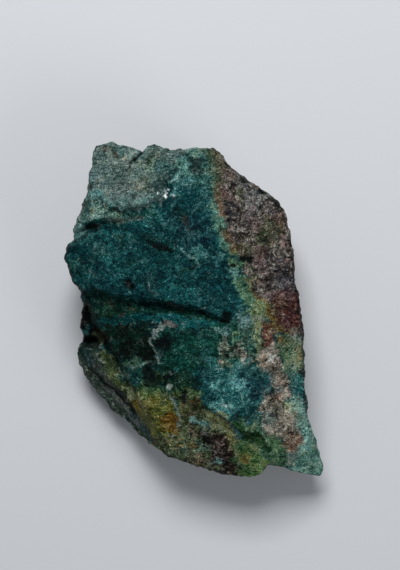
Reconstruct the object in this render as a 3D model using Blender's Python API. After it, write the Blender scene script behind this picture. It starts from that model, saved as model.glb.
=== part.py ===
"""A rough turquoise: one broken lump of stone, lying on its flat underside with its broad face up.

The stone is about 118 mm wide (X), 152 mm long (Y) and 52 mm thick (Z). A finely cut cube is wrapped
onto it: the cube's top becomes the broad face, its sides the broken belt, and its base the underside.
The broad face is the lowest of a handful of tilted facets, then ledges, beads, hollows and roughness
are added. All shapes below are worked out in millimetres and made metres when they enter the mesh.
"""

import itertools

import bmesh
import bpy
import numpy as np

MM = 0.001

# Driving dimensions, in mm.
OUTLINE = (
    (-46.3, 71.5), (-45, 74.5), (-42.3, 76), (-38, 76.2), (-35, 75.3), (-32, 75), (-28.5, 73.3),
    (-23, 71.5), (-21.3, 74.5), (-18, 75.2), (-14.5, 73.3), (-10.5, 71.5), (-6, 71.2), (0.5, 72.5),
    (6, 72.6), (8.5, 72.3), (11, 70.3), (13.5, 67.5), (16, 64), (21.5, 60.5), (25, 58), (29, 56.5),
    (31.5, 53.5), (37.5, 48.5), (38.5, 46.5), (40, 45), (41.5, 41.5), (43.6, 32), (45, 23.5),
    (46.6, 12.5), (48, 2), (50, -17), (50.6, -35.5), (51.8, -50.5), (53.8, -57), (57, -65.5),
    (60, -73), (60, -76), (59, -78), (51.5, -76.5), (46, -74.5), (40, -71.2), (33, -70.8), (31.5, -74),
    (29.5, -76), (25.5, -77.2), (16.5, -76), (8.5, -73.8), (4, -72.2), (-1, -71.8), (-5.5, -70),
    (-12, -65.5), (-20.5, -61.7), (-26.5, -57.2), (-36.5, -48.5), (-45.5, -35.5), (-52, -25.5),
    (-54, -20.5), (-53, -16.5), (-51.5, -14.5), (-51.5, -12), (-52, -8), (-50, 3), (-51, 8),
    (-52.5, 10.5), (-55, 12.5), (-57, 19.5), (-58.5, 21.5), (-58.5, 24), (-57, 26), (-57.5, 27.5),
    (-53.5, 31.5), (-54, 36), (-52.5, 41), (-48.3, 46.5), (-47, 50.5), (-47.4, 55), (-47.8, 59),
    (-47, 63), (-45.7, 66.5),
)
LOW_OUTLINE = (
    (-34, 63), (-12, 67), (7, 68), (17, 55), (32, 42), (35, 28), (36, 6), (40, -22), (45, -44), (52, -65),
    (38, -62), (22, -66), (2, -60), (-18, -51), (-40, -31), (-44, -14), (-42, 4), (-45, 19), (-43, 44),
)  # the belt's lower edge, plainer than the outline and inside it
EDGE_ROUND = 1.8  # how far the broad face stops short of the outline
BASE_CUT = 1.6  # how deep the underside is cut off flat

CUTS = 94  # cuts along each edge of the wrapped cube
TRIANGLES = 9400  # what is left of it

# The broad face's facets: a point on each, its height there, and its rise along X and Y in mm per mm.
OPEN_FACETS = {
    "middle": ((-20, 26), 50.0, (0.02, -0.06)),
    "left": ((-38, 21), 47.5, (0.28, -0.05)),
    "shoulder": ((3, 35), 49.0, (-0.10, -0.16)),
    "dark side": ((14, 35), 47.6, (-0.36, -0.10)),
    "right": ((35, -19), 40.5, (-0.25, 0.08)),
    "tip": ((48, -60), 27.5, (-0.50, 0.35)),
    "scoop": ((-2, 67), 44.5, (0.17, -0.37)),
    "steep side": ((-38, -48), 8.0, (1.6, 1.25)),
}
# Facets that lie a step lower: each counts only on the left of its line.
LOWER_FACETS = {
    "floor": ((-6, -15), 44.2, (0.02, 0.06), "lip"),
    "floor, left": ((-29, -28), 39.5, (0.20, 0.10), "lip"),
    "toe": ((3, -56), 35.0, (0.03, 0.38), "tongue"),
    "recess": ((-47, -8), 29.5, (0.15, 0.05), "sheet edge"),
    "shelf": ((-38, -26), 29.5, (0.25, 0.12), "sheet edge"),
}
# Lines on the broad face, each read from its first point to its last.
LINES = {
    "lip": ((11, -3.5), (6.5, -1.5), (0.5, 0.5), (-6, 2), (-13, 2.5), (-20, 3.5), (-26.5, 4.5),
            (-33.5, 5), (-39.5, 7), (-44.5, 9), (-52, 8)),
    "rim": ((-47, -6), (-43.5, -3.5), (-39, -2.5), (-33.5, -2), (-26.5, -1.5), (-20, -1), (-13, -2),
            (-6, -3), (0.5, -4), (6, -5.5), (10, -7)),
    "sheet edge": ((-26, -44), (-30, -34.5), (-31.5, -31), (-33, -26.5), (-35, -22.5), (-38, -19.5),
                   (-40, -16), (-40.5, -12.5), (-43, -10), (-45.5, -6), (-47, -1), (-50, 4)),
    "tongue": ((39, -72), (35, -64.5), (33, -61), (31, -58), (28.5, -56.5), (25, -56.5), (21.5, -56.5),
               (18, -53.5), (15, -51), (11.5, -47.5), (4, -45), (-6, -41), (-20, -34)),
    "block": ((-30, 41), (-36, 40.5), (-41, 39.5), (-45, 38.5), (-49, 37), (-54, 35)),
    "scoop lip": ((-12, 53), (-16.5, 49.5), (-20, 47), (-25.5, 46), (-30, 45), (-34.5, 47), (-37.5, 48.5)),
    "crack": ((-49, -25), (-45, -29.5), (-41.5, -33), (-37, -36), (-33, -41), (-29, -46), (-25, -51)),
    "slit": ((-53, -15), (-49, -14.5), (-44, -15.5)),
    "lump rim": ((4, -47.5), (8.5, -48.5), (12, -50.5), (15, -53), (18, -56), (19.5, -59)),
    "spur": ((6, 72), (-4, 62), (-12, 54)),
    "left ledge": ((-46, 13), (-50, 19), (-54, 23), (-58, 26)),
    "notch ledge": ((-49, 10), (-54, 15.5), (-58, 20)),
    "crevice": ((-30, 63), (-28, 65.5), (-25.5, 68), (-24, 70.5), (-23, 73)),
    "brown line": ((-38, 73), (-36, 70), (-34, 67)),
    "red step": ((33, 2), (36.5, 6.5), (40.5, 9), (47, 10.5)),
    "long pit": ((19.5, 22.5), (22.5, 23), (26, 23)),
    "pit chain": ((-20.5, 30.5), (-17.5, 29.5), (-15.5, 28.5), (-12.5, 27.5)),
    "quartz hollow": ((-13, -26), (-11.5, -31), (-9.5, -38)),
}
# Ledges lift the right side of their line: height, width of the face, and how far the lift reaches.
LEDGES = {
    "block": (4.6, 2.4, 10.0),
    "scoop lip": (4.2, 2.2, 8.0),
    "left ledge": (-1.6, 1.6, 6.0),
    "notch ledge": (-1.8, 1.6, 5.0),
    "red step": (-0.8, 1.4, 9.0),
}
# Beads stand up along their line and grooves sink: height and half width.
BEADS = {
    "rim": (3.2, 2.6),
    "lump rim": (2.0, 2.8),
    "spur": (1.4, 5.0),
    "crack": (-2.0, 0.9),
    "slit": (-6.0, 1.7),
    "crevice": (-0.4, 0.7),
    "brown line": (-0.6, 0.7),
    "long pit": (-1.0, 0.9),
    "pit chain": (-0.9, 0.9),
    "quartz hollow": (-1.6, 2.2),
}
# Broad hollows (below zero) and lumps: middle, height and radius.
HOLLOWS = (
    ((-29, 57), -3.2, 13.0),
    ((-5, 43), -0.6, 5.0),
    ((-27.5, -31), 1.5, 3.6),
    ((13, -64), 2.2, 8.0),
    ((-17, -47), 1.8, 9.0),
    ((15, -35), 1.6, 10.0),
)
# Small pits: middle, height and radius.
PITS = (
    ((14, -3), -1.8, 2.4),
    ((18, 19.5), -1.2, 1.6),
    ((-29.5, 12), -1.0, 1.3),
    ((-28.5, 10), -1.0, 1.2),
    ((-19, -32), -3.0, 3.0),
    ((-21.5, -27.5), -1.4, 2.0),
    ((-13, -15.5), -1.4, 3.4),
    ((22.5, 59), -1.3, 1.7),
    ((30, 53), -1.4, 1.8),
)
# Facets of the underside: azimuth in degrees, height at the outline, and rise outwards in mm per mm.
UNDER_FACETS = (
    (-52, 8, 0.75), (-78, 11, 0.9), (-108, 12, 1.3), (-138, 3, 0.7), (-170, 11, 1.1), (160, 18, 1.5),
    (128, 16, 1.0), (95, 19, 1.4), (62, 20, 2.2), (40, 15, 1.2), (8, 14, 1.7), (-18, 11, 1.2),
    (28, 9, 0.26), (-32, 8, 0.22), (103, 10, 0.22), (-92, 8, 0.2), (178, 8, 0.24),
)
# Roughness of the whole surface: size, height and seed of each layer of noise.
ROUGHNESS = ((26, 1.0, 3), (12, 0.8, 4), (6, 0.45, 5), (3, 0.25, 6))
# Chips broken out of the belt and underside, and of the broad face: size and depth.
SIDE_CHIPS = ((24, 5.0, 8), (10, 1.6, 9))
FACE_CHIPS = ((15, 0.7, 10), (7, 0.35, 11))
# Layers seen from the side: their length, thickness and height.
LAYERS = (22, 4.5, 0.8)


def smooth_step(value):
    """0 below 0, 1 above 1, and an S curve between."""
    value = np.clip(value, 0, 1)
    return value * value * (3 - 2 * value)


def smooth_lowest(heights, blend):
    """The lowest of several heights, with the creases between them rounded by blend mm."""
    heights = np.array(heights)
    lowest = heights.min(axis=0)
    return lowest - blend * np.log(np.exp((lowest - heights) / blend).sum(axis=0))


def plane(x, y, point, height, slope):
    """Height of a tilted plane that passes through one point."""
    return height + slope[0] * (x - point[0]) + slope[1] * (y - point[1])


def along_line(x, y, points):
    """Distance from a line of points, above 0 on its left, and the place along it from 0 to 1."""
    points = np.array(points, float)
    starts, steps = points[:-1], np.diff(points, axis=0)
    lengths = np.hypot(steps[:, 0], steps[:, 1])
    before = np.concatenate([[0], np.cumsum(lengths)])
    nearest = np.full(x.shape, np.inf)
    side = np.zeros(x.shape)
    place = np.zeros(x.shape)
    for start, step, length, passed in zip(starts, steps, lengths, before):
        across, up = x - start[0], y - start[1]
        share = np.clip((across * step[0] + up * step[1]) / length**2, 0, 1)
        gap = np.hypot(across - share * step[0], up - share * step[1])
        offset = (step[0] * up - step[1] * across) / length
        closer = gap - 1e-6 * np.abs(offset) < nearest
        nearest = np.where(closer, gap - 1e-6 * np.abs(offset), nearest)
        side = np.where(closer, np.sign(offset), side)
        place = np.where(closer, (passed + share * length) / before[-1], place)
    return nearest * side, place


def fade_ends(place, share=0.16):
    """1 along a line, easing to 0 at both of its ends."""
    return smooth_step(place / share) * smooth_step((1 - place) / share)


def noise(points, seed):
    """Gradient noise, about -1 to 1: cell corners hold random slopes, blended by a quintic curve."""
    random = np.random.default_rng(seed)
    order = random.permutation(256)
    slopes = random.normal(size=(256, 3))
    slopes /= np.linalg.norm(slopes, axis=1)[:, None]
    cell = np.floor(points).astype(int)
    inside = points - cell
    weight = inside**3 * (inside * (inside * 6 - 15) + 10)
    total = np.zeros(len(points))
    for corner in itertools.product((0, 1), repeat=3):
        place = cell + corner
        pick = order[(order[(order[place[:, 0] & 255] + place[:, 1]) & 255] + place[:, 2]) & 255]
        share = np.where(corner, weight, 1 - weight).prod(axis=1)
        total += share * ((inside - corner) * slopes[pick]).sum(axis=1)
    return total * 1.7


def chips(points, seed):
    """Shallow scoops that meet in sharp ridges: the squared distance to the nearest of random seeds."""
    spread = np.random.default_rng(seed).random((256, 3))
    cell = np.floor(points).astype(int)
    nearest = np.full(len(points), np.inf)
    for corner in itertools.product((-1, 0, 1), repeat=3):
        place = cell + corner
        pick = (place[:, 0] * 73 + place[:, 1] * 157 + place[:, 2] * 31) & 255
        nearest = np.minimum(nearest, ((place + spread[pick] - points) ** 2).sum(axis=1))
    return nearest


def outline_radius(angle, outline):
    """Distance from the middle to an outline, where a ray at each angle crosses it."""
    corners = np.array(outline, float)
    turns = np.arctan2(corners[:, 1], corners[:, 0])
    order = np.argsort(turns)
    corners, turns = corners[order], turns[order]
    first = (np.searchsorted(turns, angle) - 1) % len(turns)
    a, b = corners[first], corners[(first + 1) % len(turns)]
    edge = b - a
    area = a[:, 0] * edge[:, 1] - a[:, 1] * edge[:, 0]
    return area / (np.cos(angle) * edge[:, 1] - np.sin(angle) * edge[:, 0])


def facet_height(x, y):
    """The lowest of the broad face's facets; the lower ones count only past their line."""
    heights = [plane(x, y, *facet) for facet in OPEN_FACETS.values()]
    for point, height, slope, line in LOWER_FACETS.values():
        distance, _ = along_line(x, y, LINES[line])
        heights.append(plane(x, y, point, height, slope) + 26 * smooth_step(-distance / 5 + 0.1))
    return smooth_lowest(heights, 0.6)


def relief_height(x, y):
    """Ledges, beads, hollows and lumps that stand on the facets or sink into them."""
    relief = np.zeros(x.shape)
    for line, (height, width, reach) in LEDGES.items():
        distance, place = along_line(x, y, LINES[line])
        lift = smooth_step(-distance / width + 0.5) * np.exp(-((distance / reach) ** 2))
        relief += height * fade_ends(place) * lift
    for line, (height, width) in BEADS.items():
        distance, place = along_line(x, y, LINES[line])
        relief += height * fade_ends(place) * np.exp(-((distance / width) ** 2))
    for (across, up), height, radius in HOLLOWS + PITS:
        relief += height * np.exp(-(((x - across) ** 2 + (y - up) ** 2) / radius**2))
    return relief


def underside(x, y):
    """Height of the underside: the highest of facets that rise outwards, over the flat cut."""
    corners = np.array(OUTLINE, float)
    heights = [np.full(x.shape, BASE_CUT)]
    for azimuth, height, slope in UNDER_FACETS:
        out = np.array((np.cos(np.radians(azimuth)), np.sin(np.radians(azimuth))))
        reach = (corners @ out).max()
        heights.append(-height - slope * (x * out[0] + y * out[1] - reach))
    return -smooth_lowest(heights, 0.6)


def wrap(cube):
    """Places on the stone of points on a cube that spans -1 to 1."""
    u, v, w = cube.T
    share = np.maximum(np.abs(u), np.abs(v))
    angle = np.arctan2(v, u)
    radius = outline_radius(angle, OUTLINE) - EDGE_ROUND
    low_radius = outline_radius(angle, LOW_OUTLINE)
    cos, sin = np.cos(angle), np.sin(angle)

    top_x, top_y = radius * cos * share, radius * sin * share
    top_z = facet_height(top_x, top_y) + relief_height(top_x, top_y)
    low_x, low_y = low_radius * cos * share, low_radius * sin * share
    low_z = np.minimum(underside(low_x, low_y), top_z - 3)

    turn = w * np.pi / 2
    bulge = EDGE_ROUND * np.maximum(np.cos(turn), 0) ** 0.6
    rise = (1 + np.sign(turn) * np.abs(np.sin(turn)) ** 0.6) / 2
    belt_radius = low_radius + (radius - low_radius) * smooth_step(rise * 0.75 + 0.25) + bulge
    belt_z = low_z + (top_z - low_z) * rise

    x = np.where(w > 0.999, top_x, np.where(w < -0.999, low_x, belt_radius * cos))
    y = np.where(w > 0.999, top_y, np.where(w < -0.999, low_y, belt_radius * sin))
    z = np.where(w > 0.999, top_z, np.where(w < -0.999, low_z, belt_z))
    return np.stack([x, y, z], axis=1)


def roughen(points, normals, face_share):
    """Moves points along their normals by noise, chips and, away from the broad face, layers."""
    length, thickness, layer_height = LAYERS
    layers = layer_height * noise(points / (length, length, thickness), 12)
    side = layers + sum(depth * (chips(points / size, seed) - 0.25) for size, depth, seed in SIDE_CHIPS)
    face = sum(depth * (chips(points / size, seed) - 0.25) for size, depth, seed in FACE_CHIPS)
    height = side * (1 - face_share) + face * face_share
    height += sum(rise * noise(points / size, seed) for size, rise, seed in ROUGHNESS)
    return points + normals * height[:, None]


def make_stone():
    """The wrapped cube as one object, thinned to its triangle count."""
    form = bmesh.new()
    bmesh.ops.create_cube(form, size=2)
    bmesh.ops.subdivide_edges(form, edges=form.edges[:], cuts=CUTS, use_grid_fill=True)
    bmesh.ops.triangulate(form, faces=form.faces[:])
    mesh = bpy.data.meshes.new("turquoise_stone")
    form.to_mesh(mesh)
    form.free()

    cube = np.empty(len(mesh.vertices) * 3)
    mesh.vertices.foreach_get("co", cube)
    cube = cube.reshape(-1, 3)
    points = wrap(cube)
    mesh.vertices.foreach_set("co", points.ravel())
    mesh.update()
    normals = np.empty(len(mesh.vertices) * 3)
    mesh.vertices.foreach_get("normal", normals)
    points = roughen(points, normals.reshape(-1, 3), smooth_step((cube[:, 2] + 0.2) / 1.1))
    points[:, :2] -= (points.min(axis=0) + points.max(axis=0))[:2] / 2
    mesh.vertices.foreach_set("co", (points * MM).ravel())
    mesh.update()

    stone = bpy.data.objects.new("turquoise_stone", mesh)
    bpy.context.collection.objects.link(stone)
    thin = stone.modifiers.new("Thin", "DECIMATE")
    thin.ratio = TRIANGLES / len(mesh.polygons)
    return stone


def cut_flat(stone):
    """Cuts the underside off flat, which leaves the face that the stone rests on."""
    cutter = bpy.data.objects.new("floor_cutter", bpy.data.meshes.new("floor_cutter"))
    form = bmesh.new()
    bmesh.ops.create_cube(form, size=300 * MM)
    bmesh.ops.translate(form, vec=(0, 0, -150 * MM), verts=form.verts[:])
    form.to_mesh(cutter.data)
    form.free()
    bpy.context.collection.objects.link(cutter)
    cutter.hide_render = True
    cutter.display_type = "WIRE"
    cut = stone.modifiers.new("Flat underside", "BOOLEAN")
    cut.operation = "DIFFERENCE"
    cut.object = cutter


def stone_material():
    """Dark teal stone with a satin surface."""
    material = bpy.data.materials.new("turquoise")
    material.use_nodes = True
    shader = material.node_tree.nodes["Principled BSDF"]
    shader.inputs["Base Color"].default_value = (0.013, 0.075, 0.080, 1)
    shader.inputs["Roughness"].default_value = 0.55
    shader.inputs["Metallic"].default_value = 0.0
    return material


def main():
    """Clears the scene and makes the stone."""
    for old in list(bpy.data.objects):
        bpy.data.objects.remove(old, do_unlink=True)
    stone = make_stone()
    stone.data.materials.append(stone_material())
    stone.data.shade_smooth()
    cut_flat(stone)


main()
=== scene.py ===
"""The looks of a rough turquoise: one lump of dark teal stone, lying on its flat underside.

One finely meshed piece stands for the CAD solid. Its shape follows the solid's own formulas, in
millimetres, with finer roughness. Zones, patches and stripes drawn on the broad face give every vertex
a dark, a middle and a light colour. The material mixes the three by noise, so each keeps its own grain.
"""

import itertools
import math

import bpy
import numpy as np
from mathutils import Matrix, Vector


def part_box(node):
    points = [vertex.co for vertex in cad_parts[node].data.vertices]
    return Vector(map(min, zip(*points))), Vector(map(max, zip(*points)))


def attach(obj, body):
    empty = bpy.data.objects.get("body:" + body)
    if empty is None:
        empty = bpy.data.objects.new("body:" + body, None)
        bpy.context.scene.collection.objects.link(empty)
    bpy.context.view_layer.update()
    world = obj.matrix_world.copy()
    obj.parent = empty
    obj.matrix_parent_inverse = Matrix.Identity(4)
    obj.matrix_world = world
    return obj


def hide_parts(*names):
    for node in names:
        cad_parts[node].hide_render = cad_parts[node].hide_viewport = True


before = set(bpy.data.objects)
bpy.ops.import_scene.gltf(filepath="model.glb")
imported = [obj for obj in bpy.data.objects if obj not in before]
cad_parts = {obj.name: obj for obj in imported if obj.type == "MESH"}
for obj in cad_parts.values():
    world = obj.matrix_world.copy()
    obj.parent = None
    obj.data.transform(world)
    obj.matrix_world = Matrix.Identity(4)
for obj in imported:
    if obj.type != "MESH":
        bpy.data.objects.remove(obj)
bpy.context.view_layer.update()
NODE = "turquoise_stone"
MM = 0.001

# Driving dimensions, in mm.
OUTLINE = (
    (-46.3, 71.5), (-45, 74.5), (-42.3, 76), (-38, 76.2), (-35, 75.3), (-32, 75), (-28.5, 73.3),
    (-23, 71.5), (-21.3, 74.5), (-18, 75.2), (-14.5, 73.3), (-10.5, 71.5), (-6, 71.2), (0.5, 72.5),
    (6, 72.6), (8.5, 72.3), (11, 70.3), (13.5, 67.5), (16, 64), (21.5, 60.5), (25, 58), (29, 56.5),
    (31.5, 53.5), (37.5, 48.5), (38.5, 46.5), (40, 45), (41.5, 41.5), (43.6, 32), (45, 23.5),
    (46.6, 12.5), (48, 2), (50, -17), (50.6, -35.5), (51.8, -50.5), (53.8, -57), (57, -65.5),
    (60, -73), (60, -76), (59, -78), (51.5, -76.5), (46, -74.5), (40, -71.2), (33, -70.8), (31.5, -74),
    (29.5, -76), (25.5, -77.2), (16.5, -76), (8.5, -73.8), (4, -72.2), (-1, -71.8), (-5.5, -70),
    (-12, -65.5), (-20.5, -61.7), (-26.5, -57.2), (-36.5, -48.5), (-45.5, -35.5), (-52, -25.5),
    (-54, -20.5), (-53, -16.5), (-51.5, -14.5), (-51.5, -12), (-52, -8), (-50, 3), (-51, 8),
    (-52.5, 10.5), (-55, 12.5), (-57, 19.5), (-58.5, 21.5), (-58.5, 24), (-57, 26), (-57.5, 27.5),
    (-53.5, 31.5), (-54, 36), (-52.5, 41), (-48.3, 46.5), (-47, 50.5), (-47.4, 55), (-47.8, 59),
    (-47, 63), (-45.7, 66.5),
)
LOW_OUTLINE = (
    (-34, 63), (-12, 67), (7, 68), (17, 55), (32, 42), (35, 28), (36, 6), (40, -22), (45, -44), (52, -65),
    (38, -62), (22, -66), (2, -60), (-18, -51), (-40, -31), (-44, -14), (-42, 4), (-45, 19), (-43, 44),
)  # the belt's lower edge, plainer than the outline and inside it
EDGE_ROUND = 1.8  # how far the broad face stops short of the outline
BASE_CUT = 1.6  # how deep the underside is cut off flat
BELT_LEAST = 3  # least height of the belt between the broad face and the underside
BELT_SQUARENESS = 0.6  # of the belt's edges: 1 is round, less is squarer
BELT_LEAN = 0.25  # where on its S curve the belt's slant starts, at the lower edge
CREASE = 0.6  # how widely the creases between facets are rounded

# The broad face's facets: a point on each, its height there, and its rise along X and Y in mm per mm.
OPEN_FACETS = {
    "middle": ((-20, 26), 50.0, (0.02, -0.06)),
    "left": ((-38, 21), 47.5, (0.28, -0.05)),
    "shoulder": ((3, 35), 49.0, (-0.10, -0.16)),
    "dark side": ((14, 35), 47.6, (-0.36, -0.10)),
    "right": ((35, -19), 40.5, (-0.25, 0.08)),
    "tip": ((48, -60), 27.5, (-0.50, 0.35)),
    "scoop": ((-2, 67), 44.5, (0.17, -0.37)),
    "steep side": ((-38, -48), 8.0, (1.6, 1.25)),
}
# Facets that lie a step lower: each counts only on the left of its line.
STEP_RISE = 26  # how far they are lifted out of the way on its right
STEP_WIDTH = 5
STEP_SHIFT = 0.1  # share of the step's width that lies left of the line
LOWER_FACETS = {
    "floor": ((-6, -15), 44.2, (0.02, 0.06), "lip"),
    "floor, left": ((-29, -28), 39.5, (0.20, 0.10), "lip"),
    "toe": ((3, -56), 35.0, (0.03, 0.38), "tongue"),
    "recess": ((-47, -8), 29.5, (0.15, 0.05), "sheet edge"),
    "shelf": ((-38, -26), 29.5, (0.25, 0.12), "sheet edge"),
}
# Lines on the broad face, each read from its first point to its last.
LINES = {
    "lip": ((11, -3.5), (6.5, -1.5), (0.5, 0.5), (-6, 2), (-13, 2.5), (-20, 3.5), (-26.5, 4.5),
            (-33.5, 5), (-39.5, 7), (-44.5, 9), (-52, 8)),
    "rim": ((-47, -6), (-43.5, -3.5), (-39, -2.5), (-33.5, -2), (-26.5, -1.5), (-20, -1), (-13, -2),
            (-6, -3), (0.5, -4), (6, -5.5), (10, -7)),
    "sheet edge": ((-26, -44), (-30, -34.5), (-31.5, -31), (-33, -26.5), (-35, -22.5), (-38, -19.5),
                   (-40, -16), (-40.5, -12.5), (-43, -10), (-45.5, -6), (-47, -1), (-50, 4)),
    "tongue": ((39, -72), (35, -64.5), (33, -61), (31, -58), (28.5, -56.5), (25, -56.5), (21.5, -56.5),
               (18, -53.5), (15, -51), (11.5, -47.5), (4, -45), (-6, -41), (-20, -34)),
    "block": ((-30, 41), (-36, 40.5), (-41, 39.5), (-45, 38.5), (-49, 37), (-54, 35)),
    "scoop lip": ((-12, 53), (-16.5, 49.5), (-20, 47), (-25.5, 46), (-30, 45), (-34.5, 47), (-37.5, 48.5)),
    "crack": ((-49, -25), (-45, -29.5), (-41.5, -33), (-37, -36), (-33, -41), (-29, -46), (-25, -51)),
    "slit": ((-53, -15), (-49, -14.5), (-44, -15.5)),
    "lump rim": ((4, -47.5), (8.5, -48.5), (12, -50.5), (15, -53), (18, -56), (19.5, -59)),
    "spur": ((6, 72), (-4, 62), (-12, 54)),
    "left ledge": ((-46, 13), (-50, 19), (-54, 23), (-58, 26)),
    "notch ledge": ((-49, 10), (-54, 15.5), (-58, 20)),
    "crevice": ((-30, 63), (-28, 65.5), (-25.5, 68), (-24, 70.5), (-23, 73)),
    "brown line": ((-38, 73), (-36, 70), (-34, 67)),
    "red step": ((33, 2), (36.5, 6.5), (40.5, 9), (47, 10.5)),
    "long pit": ((19.5, 22.5), (22.5, 23), (26, 23)),
    "pit chain": ((-20.5, 30.5), (-17.5, 29.5), (-15.5, 28.5), (-12.5, 27.5)),
    "quartz hollow": ((-13, -26), (-11.5, -31), (-9.5, -38)),
}
# Ledges lift the right side of their line: height, width of the face, and how far the lift reaches.
LEDGES = {
    "block": (4.6, 2.4, 10.0),
    "scoop lip": (4.2, 2.2, 8.0),
    "left ledge": (-1.6, 1.6, 6.0),
    "notch ledge": (-1.8, 1.6, 5.0),
    "red step": (-0.8, 1.4, 9.0),
}
# Beads stand up along their line and grooves sink: height and half width.
BEADS = {
    "rim": (3.2, 2.6),
    "lump rim": (2.0, 2.8),
    "spur": (1.4, 5.0),
    "crack": (-2.0, 0.9),
    "slit": (-6.0, 1.7),
    "crevice": (-0.4, 0.7),
    "brown line": (-0.6, 0.7),
    "long pit": (-1.0, 0.9),
    "pit chain": (-0.9, 0.9),
    "quartz hollow": (-1.6, 2.2),
}
# Narrow grooves get the same painted shade as the pits.
NARROW = 2  # half width below which a groove is as dark as a pit
# Hollows (below zero) and lumps: middle, height and radius.
HOLLOWS = (
    ((-29, 57), -3.2, 13.0),
    ((-5, 43), -0.6, 5.0),
    ((-27.5, -31), 1.5, 3.6),
    ((13, -64), 2.2, 8.0),
    ((-17, -47), 1.8, 9.0),
    ((15, -35), 1.6, 10.0),
)
# Pits: middle, height and radius.
PITS = (
    ((14, -3), -1.8, 2.4),
    ((18, 19.5), -1.2, 1.6),
    ((-29.5, 12), -1.0, 1.3),
    ((-28.5, 10), -1.0, 1.2),
    ((-19, -32), -3.0, 3.0),
    ((-21.5, -27.5), -1.4, 2.0),
    ((-13, -15.5), -1.4, 3.4),
    ((22.5, 59), -1.3, 1.7),
    ((30, 53), -1.4, 1.8),
)
# Facets of the underside: azimuth in degrees, height at the outline, and rise outwards in mm per mm.
UNDER_FACETS = (
    (-52, 8, 0.75), (-78, 11, 0.9), (-108, 12, 1.3), (-138, 3, 0.7), (-170, 11, 1.1), (160, 18, 1.5),
    (128, 16, 1.0), (95, 19, 1.4), (62, 20, 2.2), (40, 15, 1.2), (8, 14, 1.7), (-18, 11, 1.2),
    (28, 9, 0.26), (-32, 8, 0.22), (103, 10, 0.22), (-92, 8, 0.2), (178, 8, 0.24),
)
# Roughness of the whole surface: size, height and seed of each layer of noise.
ROUGHNESS = ((26, 1.0, 3), (12, 0.8, 4), (6, 0.45, 5), (3, 0.25, 6))
# Chips broken out of the belt and underside, and of the broad face: size, depth and seed.
SIDE_CHIPS = ((24, 5.0, 8), (10, 1.6, 9))
FACE_CHIPS = ((15, 0.7, 10), (7, 0.35, 11))
CHIP_LEVEL = 0.25  # squared distance from a chip's middle where the surface stays as it was
# Layers seen from the side: their length, thickness, height and seed.
LAYERS = (22, 4.5, 0.8, 12)
NOISE_CELLS = 256  # noise and chips repeat after this many of their cells
NOISE_GAIN = 1.7  # brings noise to about -1 to 1
CHIP_STEPS = (73, 157, 31)  # steps along X, Y and Z through the chips' random table
TIE_BREAK = 1e-6

# The mesh: cells along each side of the broad face's grid, and rows below it.
FACE_CELLS = 262
BELT_ROWS = 20
UNDER_RINGS = 8
# Roughness finer than the solid's, everywhere and along the rim: size, height and seed of each layer.
FINE_ROUGHNESS = ((2.2, 0.22, 21), (1.2, 0.16, 22))
RIM_ROUGHNESS = ((5.0, 0.55, 25), (2.4, 0.5, 26))
RIM_WIDTH = 4.0
# Levels run from 1 on the broad face to -1 on the underside.
FACE_CHIPS_FROM, FACE_CHIPS_FULL = -0.2, 0.9  # where the broad face's finer chips set in, and are alone
ON_FACE = 0.5  # marks that belong to the broad face end at this level

# How the colours are laid on: places drift and edges tear by noise of these sizes, heights and seeds.
DRIFT_X = ((5, 1.0, 31), (1.9, 0.5, 32))
DRIFT_Y = ((5, 1.0, 33), (1.9, 0.5, 34))
TEARS = (((6, 1.0, 41), (2.6, 0.8, 42), (1.2, 0.7, 43)), ((6, 1.0, 51), (2.6, 0.8, 52), (1.2, 0.7, 53)))
TEAR_TURN = 2.4  # radians by which the mix of the two tears turns from one painted thing to the next
ZONE_TEAR, ZONE_TEAR_MOST = 1.5, 3  # a zone's edge tears by this times its softness, and in mm at most
PATCH_TEAR, PATCH_TEAR_RADIUS = 1.3, 2  # a patch's, times its smaller radius, counted up to this one
STRIPE_TEAR = 1.1  # a stripe's, times its half width
PATCH_SOFTNESS = 0.9
PATCH_SPECKLE, STRIPE_SPECKLE, CRUST_SPECKLE, TEAL_SPECKLE = 0.6, 0.3, 0.6, 0.5
# The crust on the belt: the level below which it sets in, over how many, how torn, how much it covers.
CRUST_LEVEL, CRUST_FADE, CRUST_TEAR, CRUST_SHARE = 0.35, 1.2, 0.5, 0.7
# Pits and narrow grooves get painted shade, blacker the deeper they are.
PIT_BLACK, PIT_TEAR = 0.9, 0.25  # how deep a pit is where it is all black, and how torn its edge is
STROKES_FADE = 4.0  # how far inside their zone the rising strokes are at their strongest

# How the material shades the colours.
WARM_TINT = (1.3, 0.9, 0.75, 1)
COOL_TINT = (0.75, 1.0, 1.1, 1)
TINT_SHARE = 0.8
PALE_FLECK = (0.50, 0.54, 0.50, 1)
HOLE_BLACK = (0.001, 0.003, 0.0027, 1)
DARK_GRAIN = 0.15  # how much of the fine grain is left where the stone is black
DARK_RED = 0.3  # and how much of its red
GRAIN_RISE = 3  # how fast the grain comes back as the stone gets brighter
EYE_GAMMA = 2.2
GLOSS = 0.004  # light that the gloss adds, so the colours below are as seen
LEAST_LIGHT = 0.0004  # of any colour
BUMP_DEPTH, BUMP_STRENGTH = 0.0016, 0.9  # metres, and share
SPECULAR = 0.05

# The stage, in metres and watts. The camera looks straight down; the long side of its picture shows
# FRAME_LENGTH at the height of FRAME_MIDDLE.
FRAME_MIDDLE = (0.0022, 0.0116, 0.035)
FRAME_LENGTH = 0.2575
CAMERA_DISTANCE = 0.9
SENSOR_MM = 36
KEY_LIGHT = ((-0.1, 0.72, 0.95), 0.5, 17)  # place, size and power
FILL_LIGHT = ((0.8, -0.6, 0.6), 0.6, 4)
SKY_COLOUR, SKY_STRENGTH = (0.86, 0.92, 1.0, 1), 0.22
FLOOR_COLOUR, FLOOR_ROUGHNESS, FLOOR_REACH = (0.475, 0.487, 0.507), 0.9, 3.0

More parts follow.
